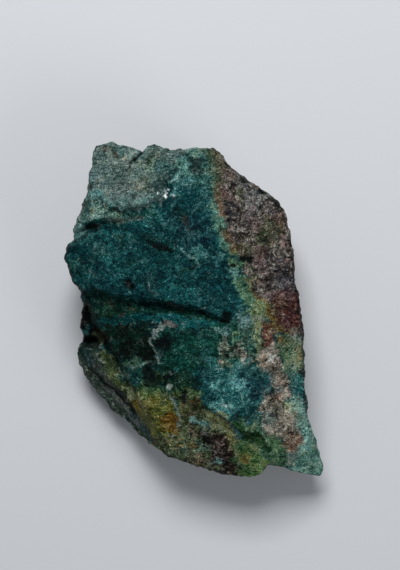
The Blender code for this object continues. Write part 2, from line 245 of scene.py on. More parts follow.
# Colours as 0 to 255 display values: the dark, the middle and the light of each zone's grain.
TEAL = ((0, 22, 26), (0, 47, 50), (26, 88, 86))
CRUST = ((30, 38, 34), (70, 80, 72), (120, 122, 108))

# Zones of the broad face, painted in this order: softness of the edge in mm, how speckled
# it is, three colours, outline in mm.
ZONES = {
    "lower field": (4.0, 0.4, (0, 24, 21), (3, 50, 43), (34, 92, 80),
        ((-12, -6), (5, -7.5), (14, -5), (24, -3), (29, -12), (30, -20), (28, -27), (18, -28), (5, -27),
         (-6, -30), (-14, -27), (-17, -18))),
    "lower left": (3.0, 0.3, (2, 24, 20), (6, 42, 36), (28, 72, 62),
        ((-50, -8.5), (-42.5, -6.5), (-20, -10.5), (-15, -17), (-13, -26), (-20, -33), (-30, -36),
         (-37, -24), (-41.5, -16))),
    # Painted shade: the dark groove below the lip step, in its shadow, down to the rim.
    "shade under rim": (0.7, 0.5, (0, 16, 13), (6, 40, 34), (28, 68, 58),
        ((-50, 7.5), (-45, 9), (-40, 7.5), (-35.5, 4.5), (-26.5, 4), (-20, 2.5), (-13, 2), (-6, 0.5),
         (0.5, -1), (5, -2), (10, -4), (9, -5.5), (3, -4.5), (-4, -3.5), (-10.5, -2.5), (-17.5, -2),
         (-24.5, -2), (-31, -2.5), (-37, -3), (-41.5, -4), (-45, -5), (-48, 0.5))),
    # Painted shade: the shadowed hollow just below the rim.
    "shade below lip": (1.6, 0.4, (0, 6, 5), (0, 20, 16), (8, 46, 38),
        ((-41, -10.5), (-39, -8), (-33.5, -6.5), (-26.5, -6), (-20, -6), (-16, -7.5), (-20, -10.5),
         (-21, -14), (-19.5, -18), (-17, -22), (-20, -25), (-24.5, -23), (-31, -22), (-37, -20.5),
         (-40, -16))),
    "lip, left": (0.8, 0.2, (0, 36, 36), (2, 58, 58), (20, 84, 82),
        ((-43, -4.5), (-37, -3), (-31, -2.5), (-26, -2), (-25, -6), (-33.5, -6.8), (-39, -8), (-41, -9))),
    # Partly painted light: the lip's bright teal stands partly for light on its upper side, partly for its
    # own colour.
    "lip": (0.4, 0.2, (2, 54, 57), (10, 80, 82), (42, 116, 112),
        ((-30, -3), (-24.5, -1.9), (-17.5, -1.9), (-10.5, -2.4), (-4, -3.4), (3, -4.7), (9, -5.9),
         (5, -8), (0.5, -7.7), (-6, -6.8), (-13, -5.7), (-20, -5), (-28, -5.2))),
    "block": (1.6, 0.6, (10, 36, 32), (40, 68, 62), (98, 126, 114),
        ((-60, 29), (-56, 30), (-53.5, 32.5), (-51.5, 37), (-50, 39.5), (-45, 41), (-37, 40.5),
         (-32.5, 40), (-31, 42.5), (-35, 45), (-38, 48.5), (-42.5, 51), (-44, 54), (-46, 53.5),
         (-50, 50.5), (-55, 46.5), (-60.5, 36))),
    # Painted shade on the face of the block's step, which faces away from the light, over dark teal.
    "shaded block face": (0.8, 0.4, (0, 22, 22), (5, 44, 44), (28, 76, 74),
        ((-51.5, 38.5), (-47, 40), (-41, 41), (-38.5, 39), (-42.5, 36), (-48, 34), (-51.5, 35))),
    # Painted shade: the dark band on the step below the scoop's lip.
    "shade under scoop": (1.0, 0.5, (0, 26, 23), (10, 52, 46), (46, 90, 82),
        ((-39, 47.5), (-34.5, 46), (-30, 43.5), (-25, 43.5), (-20, 45), (-16.5, 47.5), (-17.5, 43.5),
         (-23, 40.5), (-29.5, 40.5), (-34, 42), (-38, 44.5))),
    # Partly painted sheen: the scoop's pale grey stands partly for light glancing off the hollow, partly
    # for its own colour.
    "scoop": (1.6, 0.35, (34, 54, 52), (62, 82, 77), (104, 124, 116),
        ((-50, 50), (-46, 53.5), (-44, 54), (-42.5, 51.5), (-37.5, 48.5), (-34.5, 47), (-30, 45),
         (-25.5, 46), (-20, 47), (-16.5, 49), (-14, 52.5), (-11.5, 56.5), (-8.5, 60.5), (-5.5, 65),
         (-3.5, 69), (0.5, 72.5), (3, 78.5), (-20, 85), (-47, 83), (-54, 67))),
    "upper field": (6.0, 0.5, (0, 28, 32), (8, 54, 57), (50, 98, 98),
        ((-11, 54), (-7, 58), (-4, 60), (1, 58), (7, 52), (11, 44), (13, 36), (8, 38), (2, 44), (-5, 48))),
    "dusk": (4.0, 0.4, (0, 18, 24), (4, 39, 45), (34, 78, 80),
        ((-12, 50), (-9, 50), (-5, 47), (1, 43), (6, 38), (8, 32), (3, 26), (-4, 26), (-7, 31), (-9, 38),
         (-10.5, 44))),
    "apex": (5.0, 0.5, (10, 42, 42), (40, 78, 74), (96, 138, 128),
        ((-8, 60), (-5.5, 65), (-3.5, 69), (0.5, 73), (4.5, 78.5), (8.5, 74), (7, 67), (9, 60), (10.5, 49),
         (13, 37.5), (15, 28.5), (13, 30.5), (9.5, 42), (6, 49), (2, 56), (-2, 59), (-6, 59))),
    "apex pale": (2.5, 0.5, (20, 60, 56), (54, 94, 86), (110, 154, 138),
        ((-7, 66.5), (-4, 68.5), (-2, 67), (-3, 63.5), (-0.5, 61), (2.5, 60), (-0.5, 59),
         (-4, 60.5), (-7, 62.5))),
    "apex dark": (1.5, 0.4, (6, 26, 26), (28, 46, 44), (54, 76, 72),
        ((-3, 67.5), (1, 69), (5.5, 66), (5, 62.5), (2, 61), (-2.5, 62))),
    "bright": (5.0, 0.7, (8, 48, 50), (30, 80, 80), (84, 142, 138),
        ((8, -28.5), (11, -26.5), (19, -27.8), (25.5, -28.5), (32, -30.5), (35, -34), (32, -38.5),
         (30.5, -43), (28.5, -48), (23.5, -50.5), (17.5, -48), (11, -46.5), (7.5, -42), (7.5, -36))),
    "brightest": (4.0, 0.6, (14, 62, 66), (42, 95, 97), (98, 152, 148),
        ((15, -30.5), (20.5, -28.8), (25.5, -30.5), (25.5, -34.5), (21.5, -37.5), (15.5, -36))),
    "brightest 2": (3.0, 0.6, (30, 82, 84), (62, 118, 116), (118, 168, 160),
        ((8, -42.5), (13, -41), (18.5, -44), (16.5, -48), (12, -47), (9, -45.5))),
    "deep blue": (2.5, 0.3, (0, 18, 26), (0, 35, 41), (26, 70, 74),
        ((23, -28), (29, -27), (33, -30.5), (33, -35), (30, -39), (26.5, -41), (23.5, -38), (23.5, -33))),
    "low green": (2.0, 0.4, (20, 48, 34), (54, 84, 62), (98, 126, 94),
        ((15.5, -48), (23.5, -50.5), (28.5, -48), (30, -53), (34, -57), (41, -60.5), (42, -65),
         (44.5, -70.5), (39.5, -73), (32, -72), (30, -64), (28, -59.5), (26.5, -56.5), (23, -56.5),
         (19.5, -53.5))),
    "right green": (2.0, 0.6, (34, 52, 38), (72, 90, 70), (120, 130, 100),
        ((36.5, -12), (41, -11), (48.5, -12), (53, -15), (53, -27.5), (45, -29), (40, -28),
         (39, -21.5), (37, -17))),
    "right teal": (2.5, 0.5, (6, 44, 46), (24, 76, 75), (74, 122, 116),
        ((40.5, -29.5), (45.5, -28.5), (54, -27.5), (55.5, -41), (50, -43.5), (45.5, -40.5), (43, -36.5))),
    "right pale": (2.5, 0.6, (46, 84, 75), (93, 126, 114), (146, 176, 158),
        ((41, -43), (45, -40), (50, -42.5), (55, -46.5), (56, -56.5), (52.5, -65), (48, -64.5),
         (48.5, -56.5), (46.5, -49.5), (42.5, -47))),
    "tip": (2.5, 0.5, (34, 76, 68), (78, 120, 107), (122, 158, 140),
        ((45, -66), (48.5, -63.5), (54, -60.5), (62, -65), (63, -79.5), (48.5, -79.5), (44, -73))),
    "maroon": (1.0, 1.0, (15, 11, 10), (54, 48, 44), (122, 116, 108),
        ((8, 73.5), (6.5, 68), (9, 61.5), (10, 55.5), (10, 49.5), (10.8, 44), (12, 39), (13.3, 33),
         (14.3, 29), (17.4, 26), (20.5, 23), (21.5, 17), (23, 13), (25, 9), (28, 5.5), (31, 4), (33, 2),
         (36.5, -5), (41, -11), (44, -12), (48.5, -12), (54, -10.5), (64.5, 12.5), (62, 53.5),
         (44, 71.5), (21, 83), (9, 80.5))),
    "red wedge": (0.8, 0.7, (26, 10, 10), (65, 38, 34), (113, 86, 79),
        ((33, 2), (35, 5), (38.5, 8), (41.5, 9.5), (45, 11), (50, 12), (54, 3.5), (52, -6.5),
         (45.5, -8.5), (43, -11), (40, -9), (37, -5), (35, -1))),
    "maroon olive 1": (2.0, 0.5, (36, 33, 25), (70, 68, 56), (108, 105, 88),
        ((8.5, 74), (13, 69), (16.5, 63.5), (15, 58), (11.5, 56), (9, 61.5), (7, 68))),
    "maroon olive 2": (2.0, 0.6, (32, 30, 22), (62, 61, 48), (94, 93, 76),
        ((29.5, 39), (34, 40.5), (40, 39), (41, 34), (37.5, 30.5), (33, 28), (27.5, 29), (28.5, 33.5))),
    "lens": (0.8, 0.3, (24, 24, 16), (46, 46, 35), (80, 78, 66),
        ((20, 27.5), (23.5, 29), (27.5, 27.5), (29, 25), (25, 23.5), (21.5, 24.5))),
    "green strip": (1.8, 0.4, (26, 58, 42), (58, 88, 66), (98, 134, 102),
        ((16, 23.5), (20, 20.5), (22.5, 16), (25, 9), (28.5, 5), (32, 3), (35, -2), (34, -5), (28, -5),
         (25, -4), (25.5, 0.5), (22.5, 4), (19.5, 8), (16, 13.5), (15, 19))),
    "yellow green": (1.5, 0.4, (52, 70, 40), (87, 104, 70), (126, 142, 102),
        ((26, 4), (31, 3.5), (33.5, -0.5), (34, -3.5), (31, -5.5), (26.5, -4), (25, -0.5))),
    "ochre": (1.2, 0.3, (54, 42, 22), (82, 68, 38), (116, 98, 60),
        ((31, 3.5), (34, -0.5), (36.5, -5), (40, -8), (41.5, -11), (37.5, -11), (35, -8.5), (34, -5),
         (32, -0.5))),
    "rust patch": (1.0, 0.7, (36, 20, 16), (72, 46, 36), (120, 90, 76),
        ((29.5, -6), (34, -5.5), (35, -9.5), (35, -17), (31, -17.5), (30, -11.5))),
    "beige 1": (1.4, 1.0, (12, 34, 26), (46, 66, 54), (128, 134, 116),
        ((10, -13), (12.5, -12), (15.5, -15), (16.5, -19.5), (15, -25), (12, -26), (9.5, -24),
         (11.5, -19.5))),
    "beige 2": (1.4, 1.0, (26, 34, 28), (84, 90, 80), (168, 168, 156),
        ((17, -16.5), (20, -16.5), (23.5, -18), (25.5, -21.5), (26, -23.5), (24, -23.5),
         (20.5, -22.5), (19.5, -19.5))),
    "beige 3": (1.4, 0.8, (46, 42, 34), (112, 106, 96), (182, 174, 160),
        ((28.5, -20), (31, -16.5), (35, -15.5), (38, -19), (39, -24), (37, -29), (33, -27.5),
         (29.5, -24.5))),
    "beige band": (1.8, 1.0, (24, 20, 16), (84, 82, 72), (164, 158, 144),
        ((34, -29.5), (37.5, -27.5), (41, -29.5), (43, -32), (43.5, -38.5), (41.5, -43), (44.5, -49),
         (46.5, -55), (43, -57.5), (38.5, -58.5), (34, -56.5), (30.5, -52.5), (30, -44.5), (31, -40.5),
         (34, -36.5), (32.5, -33))),
    "rust low": (1.4, 0.9, (44, 32, 24), (92, 76, 62), (144, 132, 114),
        ((41, -57.5), (44, -55.5), (48.5, -56), (49.5, -60.5), (46.5, -65), (43, -65), (40.5, -61))),
    "side strip": (1.2, 0.7, (12, 28, 22), (50, 64, 55), (106, 120, 108),
        ((-60.5, -17), (-50.5, -16), (-46, -17), (-43.5, -20.5), (-41, -26), (-37, -33), (-30.5, -41),
         (-26, -46), (-23, -51), (-20.5, -56.5), (-24.5, -63), (-42.5, -60.5), (-60.5, -33))),
    "olive shelf": (1.2, 0.2, (28, 40, 24), (55, 68, 43), (96, 104, 70),
        ((-43.5, -17.5), (-40, -18), (-37, -22.5), (-33.5, -29), (-30, -34), (-26.5, -36.5),
         (-30, -39.5), (-34.5, -36.5), (-39, -31.5), (-42, -25.5))),
    "green olive": (3.2, 0.4, (4, 24, 6), (22, 46, 20), (66, 90, 48),
        ((-30.5, -35), (-24.5, -31.5), (-20, -33), (-16, -35.5), (-10, -35.5), (-5, -34), (1, -37.5),
         (5.5, -43), (7.5, -47.5), (2, -46.5), (-4.5, -42), (-7, -40.5), (-11.5, -39), (-17, -36.5),
         (-21.5, -38), (-27, -37.5))),
    "vein side": (1.5, 0.5, (22, 28, 12), (50, 60, 34), (92, 98, 62),
        ((-9, -36), (-3, -36), (-2, -44), (-2, -50), (-5, -57), (-10, -58), (-7, -50), (-8, -43))),
    "brown mix": (2.2, 0.7, (16, 20, 8), (41, 45, 24), (86, 92, 57),
        ((-4.5, -38.5), (0, -36), (4.5, -41), (5.5, -46), (2, -49.5), (-2.5, -47.5), (-4.5, -43))),
    "south mix": (1.8, 0.8, (14, 26, 16), (54, 68, 44), (112, 120, 88),
        ((-23, -55), (-19, -57), (-12.5, -57), (-8, -55), (-4.5, -49), (3, -48.5), (9.5, -48.5),
         (15.5, -52), (19.5, -57.5), (21, -67.5), (22.5, -78.5), (7.5, -81), (-20, -69.5))),
    "mustard": (1.4, 0.3, (32, 40, 10), (74, 80, 32), (120, 122, 60),
        ((-31.5, -38.5), (-27, -37), (-21.5, -38), (-16, -36.5), (-11.5, -39), (-8.5, -43.5),
         (-7.5, -49.5), (-8.5, -55), (-12.5, -57), (-19, -57), (-23, -53), (-25, -48), (-28.5, -44))),
    "orange 1": (1.8, 0.2, (62, 46, 12), (98, 76, 28), (138, 112, 50),
        ((-14, -48.5), (-10.5, -47), (-8, -50.5), (-9, -55), (-12.5, -55), (-14.5, -51.5))),
    "orange 2": (1.2, 0.2, (74, 66, 8), (106, 94, 20), (140, 126, 46),
        ((-28.5, -43), (-25, -42), (-23, -45), (-25, -47), (-27.5, -46))),
    "maroon low": (1.4, 0.9, (5, 3, 3), (28, 21, 18), (92, 82, 74),
        ((4.5, -56.5), (8.5, -56), (13, -57.5), (15.5, -61), (18, -67), (20.5, -72), (19.5, -78.5),
         (13, -76), (10, -70.5), (6.5, -64))),
    "olive low": (1.2, 0.3, (28, 54, 24), (58, 86, 48), (102, 122, 78),
        ((20, -59.5), (22.5, -59), (25.5, -61), (29.5, -63), (32.5, -66), (33.5, -70.5), (32, -76),
         (25.5, -79.5), (21, -77.5), (19.5, -70.5), (19.5, -65))),
    # Painted shade: the dark green wall of the step at the fold, in shadow.
    "fold shade": (0.6, 0.1, (12, 40, 16), (31, 60, 33), (56, 86, 52),
        ((15.7, -47.2), (19.3, -50.4), (23, -53.6), (26.6, -55.4), (29.3, -55.8), (31.6, -58.6),
         (33.4, -61.3), (34.8, -64.4), (32, -63.3), (29.3, -61.3), (26.4, -60.2), (23.4, -58.3),
         (20.4, -55), (17.6, -51.5))),
    # Mostly painted shade: the recess's near black, with some darker colour of its own.
    "recess": (0.9, 0.2, (1, 2, 2), (4, 9, 8), (16, 24, 20),
        ((-60.5, 3.5), (-50, 3.5), (-46, -2), (-43.5, -8.5), (-40.5, -12), (-40, -16), (-46, -17),
         (-51.5, -16), (-60.5, -17))),
}
# Zones whose grain runs in strokes that rise to the right; elsewhere they fall.
STROKED_ZONES = ("scoop", "mustard", "olive low")
# Colours of patches and stripes: how much they cover, then dark, middle and light as in the zones.
PALETTES = {
    "amber": (0.7, (50, 54, 28), (86, 90, 54), (118, 122, 84)),
    "ash": (0.35, (60, 84, 80), (92, 120, 114), (132, 156, 146)),
    "bark": (0.8, (8, 6, 5), (30, 26, 22), (66, 60, 52)),
    "black": (0.95, (0, 4, 3), (2, 9, 7), (12, 24, 20)),
    "bottle": (0.8, (0, 13, 9), (9, 30, 21), (30, 58, 44)),
    "bright teal": (0.6, (20, 66, 66), (44, 100, 98), (90, 146, 140)),
    "brown": (0.5, (18, 15, 10), (46, 40, 28), (82, 72, 54)),
    "cream": (0.8, (86, 80, 68), (136, 130, 116), (186, 178, 162)),
    "dark teal": (0.75, (3, 18, 20), (10, 34, 36), (26, 58, 58)),
    "deep green": (0.7, (6, 24, 14), (20, 44, 26), (44, 68, 42)),
    "frost": (0.7, (74, 92, 88), (114, 128, 122), (160, 170, 160)),
    # A painted highlight: the white glint of light off the stone.
    "glint": (1.0, (230, 236, 232), (252, 254, 252), (255, 255, 255)),
    "green": (0.6, (30, 60, 34), (58, 90, 56), (96, 124, 84)),
    "grey": (0.6, (66, 70, 68), (100, 102, 100), (144, 144, 140)),
    "haze": (0.65, (50, 82, 80), (84, 118, 114), (124, 158, 153)),
    "maroon": (0.55, (30, 14, 16), (62, 38, 38), (104, 76, 74)),
    "mauve": (0.35, (54, 54, 52), (86, 90, 86), (122, 126, 120)),
    "mid teal": (0.65, (12, 48, 48), (36, 78, 77), (76, 116, 112)),
    "mint": (0.6, (40, 80, 64), (72, 114, 96), (106, 150, 128)),
    "mist": (0.65, (66, 84, 78), (98, 116, 108), (134, 150, 140)),
    "moss": (0.55, (34, 62, 50), (64, 90, 76), (104, 132, 108)),
    "ochre": (0.5, (70, 54, 18), (104, 82, 34), (140, 114, 62)),
    "olive": (0.5, (26, 36, 20), (54, 64, 42), (92, 100, 68)),
    "orange brown": (0.65, (52, 36, 24), (82, 62, 42), (112, 92, 66)),
    "pale green": (0.5, (64, 102, 88), (98, 134, 118), (144, 172, 152)),
    "pale teal": (0.6, (56, 98, 94), (96, 146, 140), (146, 190, 180)),
    # Dark green for the painted shade along the fold.
    "pine": (0.9, (5, 28, 12), (17, 44, 22), (36, 66, 36)),
    "pink": (0.5, (64, 52, 49), (100, 86, 83), (150, 136, 131)),
    "plum": (0.55, (18, 16, 20), (44, 42, 48), (84, 80, 84)),
    # Partly painted light: this pale olive also lightens rims and corners that lie in shade.
    "rind": (0.8, (76, 86, 54), (122, 132, 94), (158, 166, 128)),
    "rust": (0.4, (34, 22, 16), (66, 50, 38), (104, 84, 66)),
    "sky": (0.6, (50, 106, 108), (80, 140, 138), (130, 184, 178)),
    "slate": (0.5, (30, 52, 54), (58, 80, 82), (96, 116, 116)),
    "tan": (0.45, (64, 56, 40), (100, 90, 68), (142, 130, 104)),
    "teal": (0.7, (8, 36, 38), (24, 64, 64), (56, 100, 96)),
    "umber": (0.5, (2, 22, 18), (14, 40, 34), (40, 66, 56)),
    "white": (0.7, (130, 140, 134), (176, 182, 174), (214, 216, 208)),
    "yellow green": (0.7, (80, 92, 38), (108, 120, 60), (140, 148, 90)),
}
# Patches painted over the zones: palette, middle in mm, half length, half width, and turn in degrees.
PATCHES = (
    # The hollow at the upper left, its lip and the top.
    ("slate", -42, 60, 4, 6, 0), ("olive", -25, 55, 4, 3, 30), ("teal", -12, 63, 2.5, 5, 30),
    ("dark teal", -9, 61, 1.5, 6, -40), ("teal", -33.5, 70.5, 2.4, 1.3, 0), ("bark", -42, 73, 3.4, 1.2, 10),
    ("slate", -33, 53, 5, 2, 20), ("mauve", -31, 54.5, 8, 3.5, 15), ("mauve", -24, 51, 5, 3, 0),
    ("moss", -22, 67.5, 5, 3, -20), ("ash", -23, 50, 8, 3, 20), ("olive", -20.5, 67, 3, 2.5, 20),
    ("frost", -22, 69.8, 2, 1.3, 30), ("white", -12, 69.5, 0.5, 0.5, 30), ("ash", -41, 59, 2, 1, 20),
    ("black", -36.5, 58, 1, 0.5, 0), ("black", -46, 55, 1, 1, 0), ("pale teal", -45, 51.3, 1.8, 1.5, 0),
    ("tan", -46, 44, 1.2, 0.8, 20), ("rust", -39.5, 46.5, 1.5, 1, 0), ("rust", -35, 41, 1.5, 0.5, 0),
    # The black patch under the scoop's lip is painted shade in the pocket there.
    ("black", -33.7, 44.5, 3.8, 1.8, -33), ("rust", -27, 42, 2, 0.5, 0),
    ("dark teal", -14.8, 54.4, 3, 2.8, 0), ("mid teal", 4, 51, 2.4, 4.4, -15),
    # The glint patch is a painted highlight.
    ("glint", -12.6, 51.9, 1.6, 1.4, 0), ("pale teal", -9, 59, 3, 0.5, 50),
    ("pale teal", -4.5, 63, 2.5, 0.8, 60), ("pale green", 0, 70.2, 3.6, 2, 0),
    # The ledge on the left: the black and dark teal under it are painted shade, and the pale and bright
    # teal below them are painted light that offsets the ledge's shade.
    ("black", -46.5, 37, 2.4, 1.1, 15), ("dark teal", -40, 39, 4.5, 1, 5),
    ("pale teal", -51.8, 35.2, 1.4, 2, 0), ("bright teal", -50, 31.8, 3.4, 2, 10),
    ("brown", -48.5, 34.2, 1.2, 0.4, 20), ("ash", -52, 37, 1.5, 3.5, 0),
    # The upper field.
    ("umber", -33, 32.5, 2.4, 1.8, 30), ("umber", -17, 29, 6, 2.6, -22),
    ("black", -20.5, 30.5, 1.5, 0.8, -20), ("black", -15, 28, 3.5, 1, -22),
    ("umber", -5.5, 42.5, 2, 3.5, 20), ("brown", -4, 40, 0.8, 2.4, 20), ("mid teal", 8, 24, 3.6, 2.6, -20),
    ("dark teal", -19, 11, 2, 3.5, 15), ("umber", -38, 25.5, 3.4, 2.8, 0),
    ("umber", -28.5, 20.5, 3, 1.8, 0), ("pale teal", -30.5, 21.5, 1, 0.5, 40),
    ("ash", -46, 17, 2.4, 0.5, -50), ("umber", -54.5, 19, 3.5, 2.5, 60),
    ("dark teal", -51, 19.5, 3, 2.2, 50), ("black", -57, 28.5, 1, 1.5, 0),
    ("black", -30.5, 12.5, 1, 0.5, -10), ("black", -29, 10.5, 1.5, 1, 0), ("grey", -29, 11.6, 0.9, 0.5, 0),
    ("pale green", 1.5, 23.5, 1.5, 1, -50), ("umber", -3, 18.5, 3, 2, -20), ("black", -0.5, 19, 1, 0.5, 0),
    # The long lip and what lies just under it.
    ("bottle", -38, 0.2, 4.4, 2, -5), ("brown", -38, 3, 2, 1.3, 0), ("bottle", -20, -7.8, 3.6, 1.2, 0),
    ("brown", -28, 1, 2, 1, 0), ("brown", -10, 2.5, 3.5, 0.5, -5), ("rust", -32.5, -2.5, 1.5, 0.7, 0),
    ("rust", -6, 0, 2, 0.5, -10), ("black", 13.2, -2.2, 1.9, 1.7, 0), ("frost", -11.4, -6.3, 4, 1.2, 4),
    ("pink", -11.2, -6.6, 3.4, 0.8, 4), ("brown", -9.5, -7, 0.7, 0.4, 0),
    # The lower floor.
    ("frost", -18, -11, 2.4, 1, 52), ("dark teal", -12.5, -14.5, 5, 3, 12),
    ("black", -15, -14.3, 2.8, 1.3, 25), ("moss", -27, -21.5, 1.4, 0.9, 10),
    ("moss", -28, -24.6, 3, 1.6, 0), ("black", -27, -22, 0.7, 0.6, 0), ("ash", -24.5, -25, 4, 0.5, 14),
    ("pale teal", -22.5, -24.5, 1.6, 0.4, 20), ("dark teal", -28, -30.5, 3.5, 4, 0),
    ("teal", -28.5, -29.5, 2, 2.5, 0), ("black", -19.8, -28.6, 1.7, 3, 10),
    ("moss", -22.4, -32.4, 2, 1.4, 0), ("deep green", -13, -32.5, 2.5, 4, 0),
    ("black", -13.6, -31.5, 1.3, 1.8, 0), ("green", -17, -31, 1.5, 2, 0),
    ("frost", -10.5, -28.7, 1.2, 0.5, -30), ("frost", -11, -34.3, 1.4, 0.8, 60),
    ("frost", -12.8, -37.6, 0.9, 0.4, 40), ("green", -20, -36, 4, 2.5, 0), ("slate", -16, -23, 2, 2.2, 0),
    ("olive", -13.6, -38.2, 1.6, 1.2, 0),
    # The mustard corner and its right side.
    # The rind patch at the corner is partly painted light, lightening the sheet edge's shade.
    ("rind", -29.8, -38, 1.9, 3.6, 35), ("ochre", -25.5, -43.5, 3.5, 2.5, 20),
    ("ochre", -11.5, -51, 2, 3.5, 0), ("pale green", -30, -38, 1.5, 1, 0), ("amber", -6, -43, 1.6, 5, -4),
    ("bottle", -4.8, -31.6, 5.4, 3.8, 0), ("green", 0, -38, 2.4, 1.4, 0), ("olive", -6, -38, 3, 1.8, 0),
    ("rust", -0.5, -42, 2.5, 2.5, 0), ("tan", -3, -48, 2, 1.5, 0), ("maroon", 0, -46, 1.5, 1, 0),
    ("black", -4.5, -40, 1, 2, 0),
    # Along the foot.
    ("maroon", -1.5, -55.5, 1.8, 1.6, 0), ("maroon", -1, -51, 1.6, 1.2, 0),
    ("slate", 6, -52.5, 2.5, 1.5, 0), ("ochre", 14, -54, 1.2, 3.5, 20), ("teal", -6, -63.5, 3, 1.3, -30),
    # The bark patch at the lower edge, near (3.6, -70.2), is painted shade where the stone turns under.
    ("ochre", -0.5, -61.5, 1.8, 1, 0), ("bark", 3.6, -70.2, 6, 2.6, -12), ("bark", 6, -57.6, 3.4, 2.8, -20),
    ("grey", 4, -56, 1.2, 0.8, 0), ("rust", 1.5, -65.5, 1.4, 0.8, 0), ("brown", 0, -67, 4, 2.6, -15),
    # The rind patches along the lump's rim are partly painted light on its lit top.
    ("black", -2, -56.5, 1, 1, 0), ("pale teal", 3, -51, 3.5, 1.5, 0), ("rind", 8.3, -47.8, 3.4, 1.1, -20),
    ("rind", 10.5, -50.6, 4.6, 2, -28), ("rind", 15.8, -54.8, 3, 1.5, -48),
    ("teal", 0.5, -60.5, 3.5, 1.5, -20), ("ochre", -7.5, -60, 3, 1, -45), ("ochre", -16, -61, 2, 1, -30),
    ("olive", -7.5, -57.5, 2.4, 1.8, 0), ("ochre", -10.5, -59.5, 2.6, 1.4, -40),
    ("olive", -10.2, -61.4, 3, 2.2, -40), ("moss", 3, -62, 2.8, 2, 0),
    ("pale teal", 9.3, -69.3, 1.7, 1.1, -10), ("black", 5.8, -58, 2, 2.6, -20),
    ("brown", 16.5, -67, 1.5, 4.5, 10), ("green", 20, -63, 1.5, 5.5, -10), ("ochre", 23.5, -67, 2, 2.5, 0),
    ("olive", 28, -62.5, 2.5, 2, 0), ("pale green", 32, -59.5, 0.5, 2.5, 20),
    # Right of the middle: green, hazy and beige spots.
    ("grey", 25.5, -4, 4, 1.5, 10), ("haze", 21.8, -5, 2.4, 3.6, 0), ("moss", 24.5, -10, 2.6, 6.5, 0),
    ("green", 18.5, -11, 2.5, 2.5, 0), ("haze", 12.2, -9.8, 2.4, 1.6, 0),
    ("mid teal", 18.5, -3.6, 2, 1.6, 0), ("bright teal", 8.5, -22.8, 2.2, 2.2, 0),
    ("teal", 7.5, -28.8, 2.6, 1.8, 0), ("pale green", 17, -13, 0.5, 2, 0), ("pink", 13, -13.5, 1.4, 1.6, 0),
    ("black", 12, -17, 1, 1.2, 0), ("brown", 13, -20, 1.8, 1.8, 0), ("cream", 11.5, -23, 1, 0.5, 0),
    ("black", 14.5, -21, 0.8, 0.8, 0), ("brown", 18.8, -18.5, 1.2, 2.2, 0),
    ("cream", 32.5, -20.5, 3.4, 2.6, 20), ("white", 34, -21.5, 2, 1, 0), ("tan", 30.5, -24.5, 2, 2, 0),
    # The bright field.
    ("dark teal", 28, -28.6, 2.4, 1.2, 0), ("dark teal", 9.5, -36.5, 2.5, 2.5, 0),
    ("umber", 19.5, -47.5, 3, 2.2, -20), ("dark teal", 25.3, -46, 2.6, 3.2, 0),
    ("sky", 20.8, -32.2, 3.2, 2.8, 0), ("sky", 14.5, -44, 3.5, 1.5, -5), ("white", 13, -43, 1.5, 0.5, 0),
    ("black", 34.5, -36.5, 1.6, 2.2, 0), ("slate", 32, -38.5, 1.6, 2, 0), ("teal", 31.5, -29.3, 2.4, 2, 0),
    ("slate", 34.5, -31.5, 1.8, 1.6, 0),
    # The beige band, the right edge and the tip.
    ("brown", 36.5, -26.5, 2, 1.6, 0), ("rust", 38, -31.5, 2.4, 1.8, 0), ("cream", 40, -37.5, 2.5, 2, 0),
    ("brown", 35, -42, 3, 2, 0), ("mist", 34.5, -50, 2.6, 3.4, 0), ("cream", 36, -55, 3.2, 1.6, -40),
    ("green", 36, -61, 3.4, 1.8, -35), ("bark", 39, -47.2, 2.2, 2, 0), ("cream", 41, -48, 2.2, 2.6, 0),
    ("rind", 43.5, -44, 2, 2.2, 0), ("cream", 46, -50.5, 2, 2.5, 0), ("mid teal", 46, -33, 2.6, 4, 0),
    ("haze", 47.5, -43, 2.5, 3.5, 0), ("pale green", 48, -49.8, 2, 3, 0),
    ("pale teal", 50, -56.5, 1.5, 6.5, 5), ("ochre", 38.5, -14, 2, 1.5, 0), ("ochre", 47.5, -20, 1, 2, 0),
    ("green", 41.5, -20.5, 2.5, 2.5, 0), ("olive", 43, -14.5, 2, 2, 0), ("rind", 28, -9.8, 1.5, 4, 0),
    ("amber", 28.5, -17, 1.2, 3, 0), ("pink", 44.5, -9.8, 2.4, 1.6, 0), ("mist", 47.3, -13, 2.4, 2.4, 0),
    ("frost", 44.5, -67.8, 1.8, 2.8, 0), ("teal", 47.5, -70, 2.2, 2, 0),
    ("dark teal", 54.5, -71.5, 2.5, 2, 0),
    # The maroon side and its border.
    ("maroon", 12, 53, 2.5, 4, 10), ("plum", 41, 15, 3, 2.6, 0), ("grey", 26.5, 49.5, 3.6, 3.6, 0),
    ("grey", 28.3, 51.6, 2.4, 1.4, -35), ("plum", 16.5, 45.5, 2.6, 2.6, 0), ("pink", 28, 38.6, 2.4, 1.8, 0),
    ("plum", 22.5, 60.5, 3.5, 1, -35), ("grey", 21.6, 57.2, 4.2, 2.2, -35), ("pink", 24.5, 43, 2, 3, 0),
    ("olive", 32.5, 39, 4, 2, 15), ("plum", 35.2, 43.6, 2.8, 2.2, 0),
    ("deep green", 30.5, 31.5, 2.5, 1.5, 0), ("bark", 28.3, 31.6, 2.6, 2, 0), ("tan", 35, 32, 2.6, 3, 15),
    ("maroon", 30, 26, 3, 2, 0), ("pink", 28.3, 21.3, 2.6, 2.2, 0), ("pink", 30, 15, 2, 2.5, 0),
    ("plum", 36.5, 12.5, 4, 3.4, 0), ("olive", 25, 14.5, 2, 3.5, 0), ("plum", 43.5, 11, 3.2, 3.6, 0),
    ("plum", 38, 22, 2.2, 2.2, 0), ("pink", 41, 31.5, 2.2, 2.6, 0), ("olive", 19.6, 52, 3, 2.4, 0),
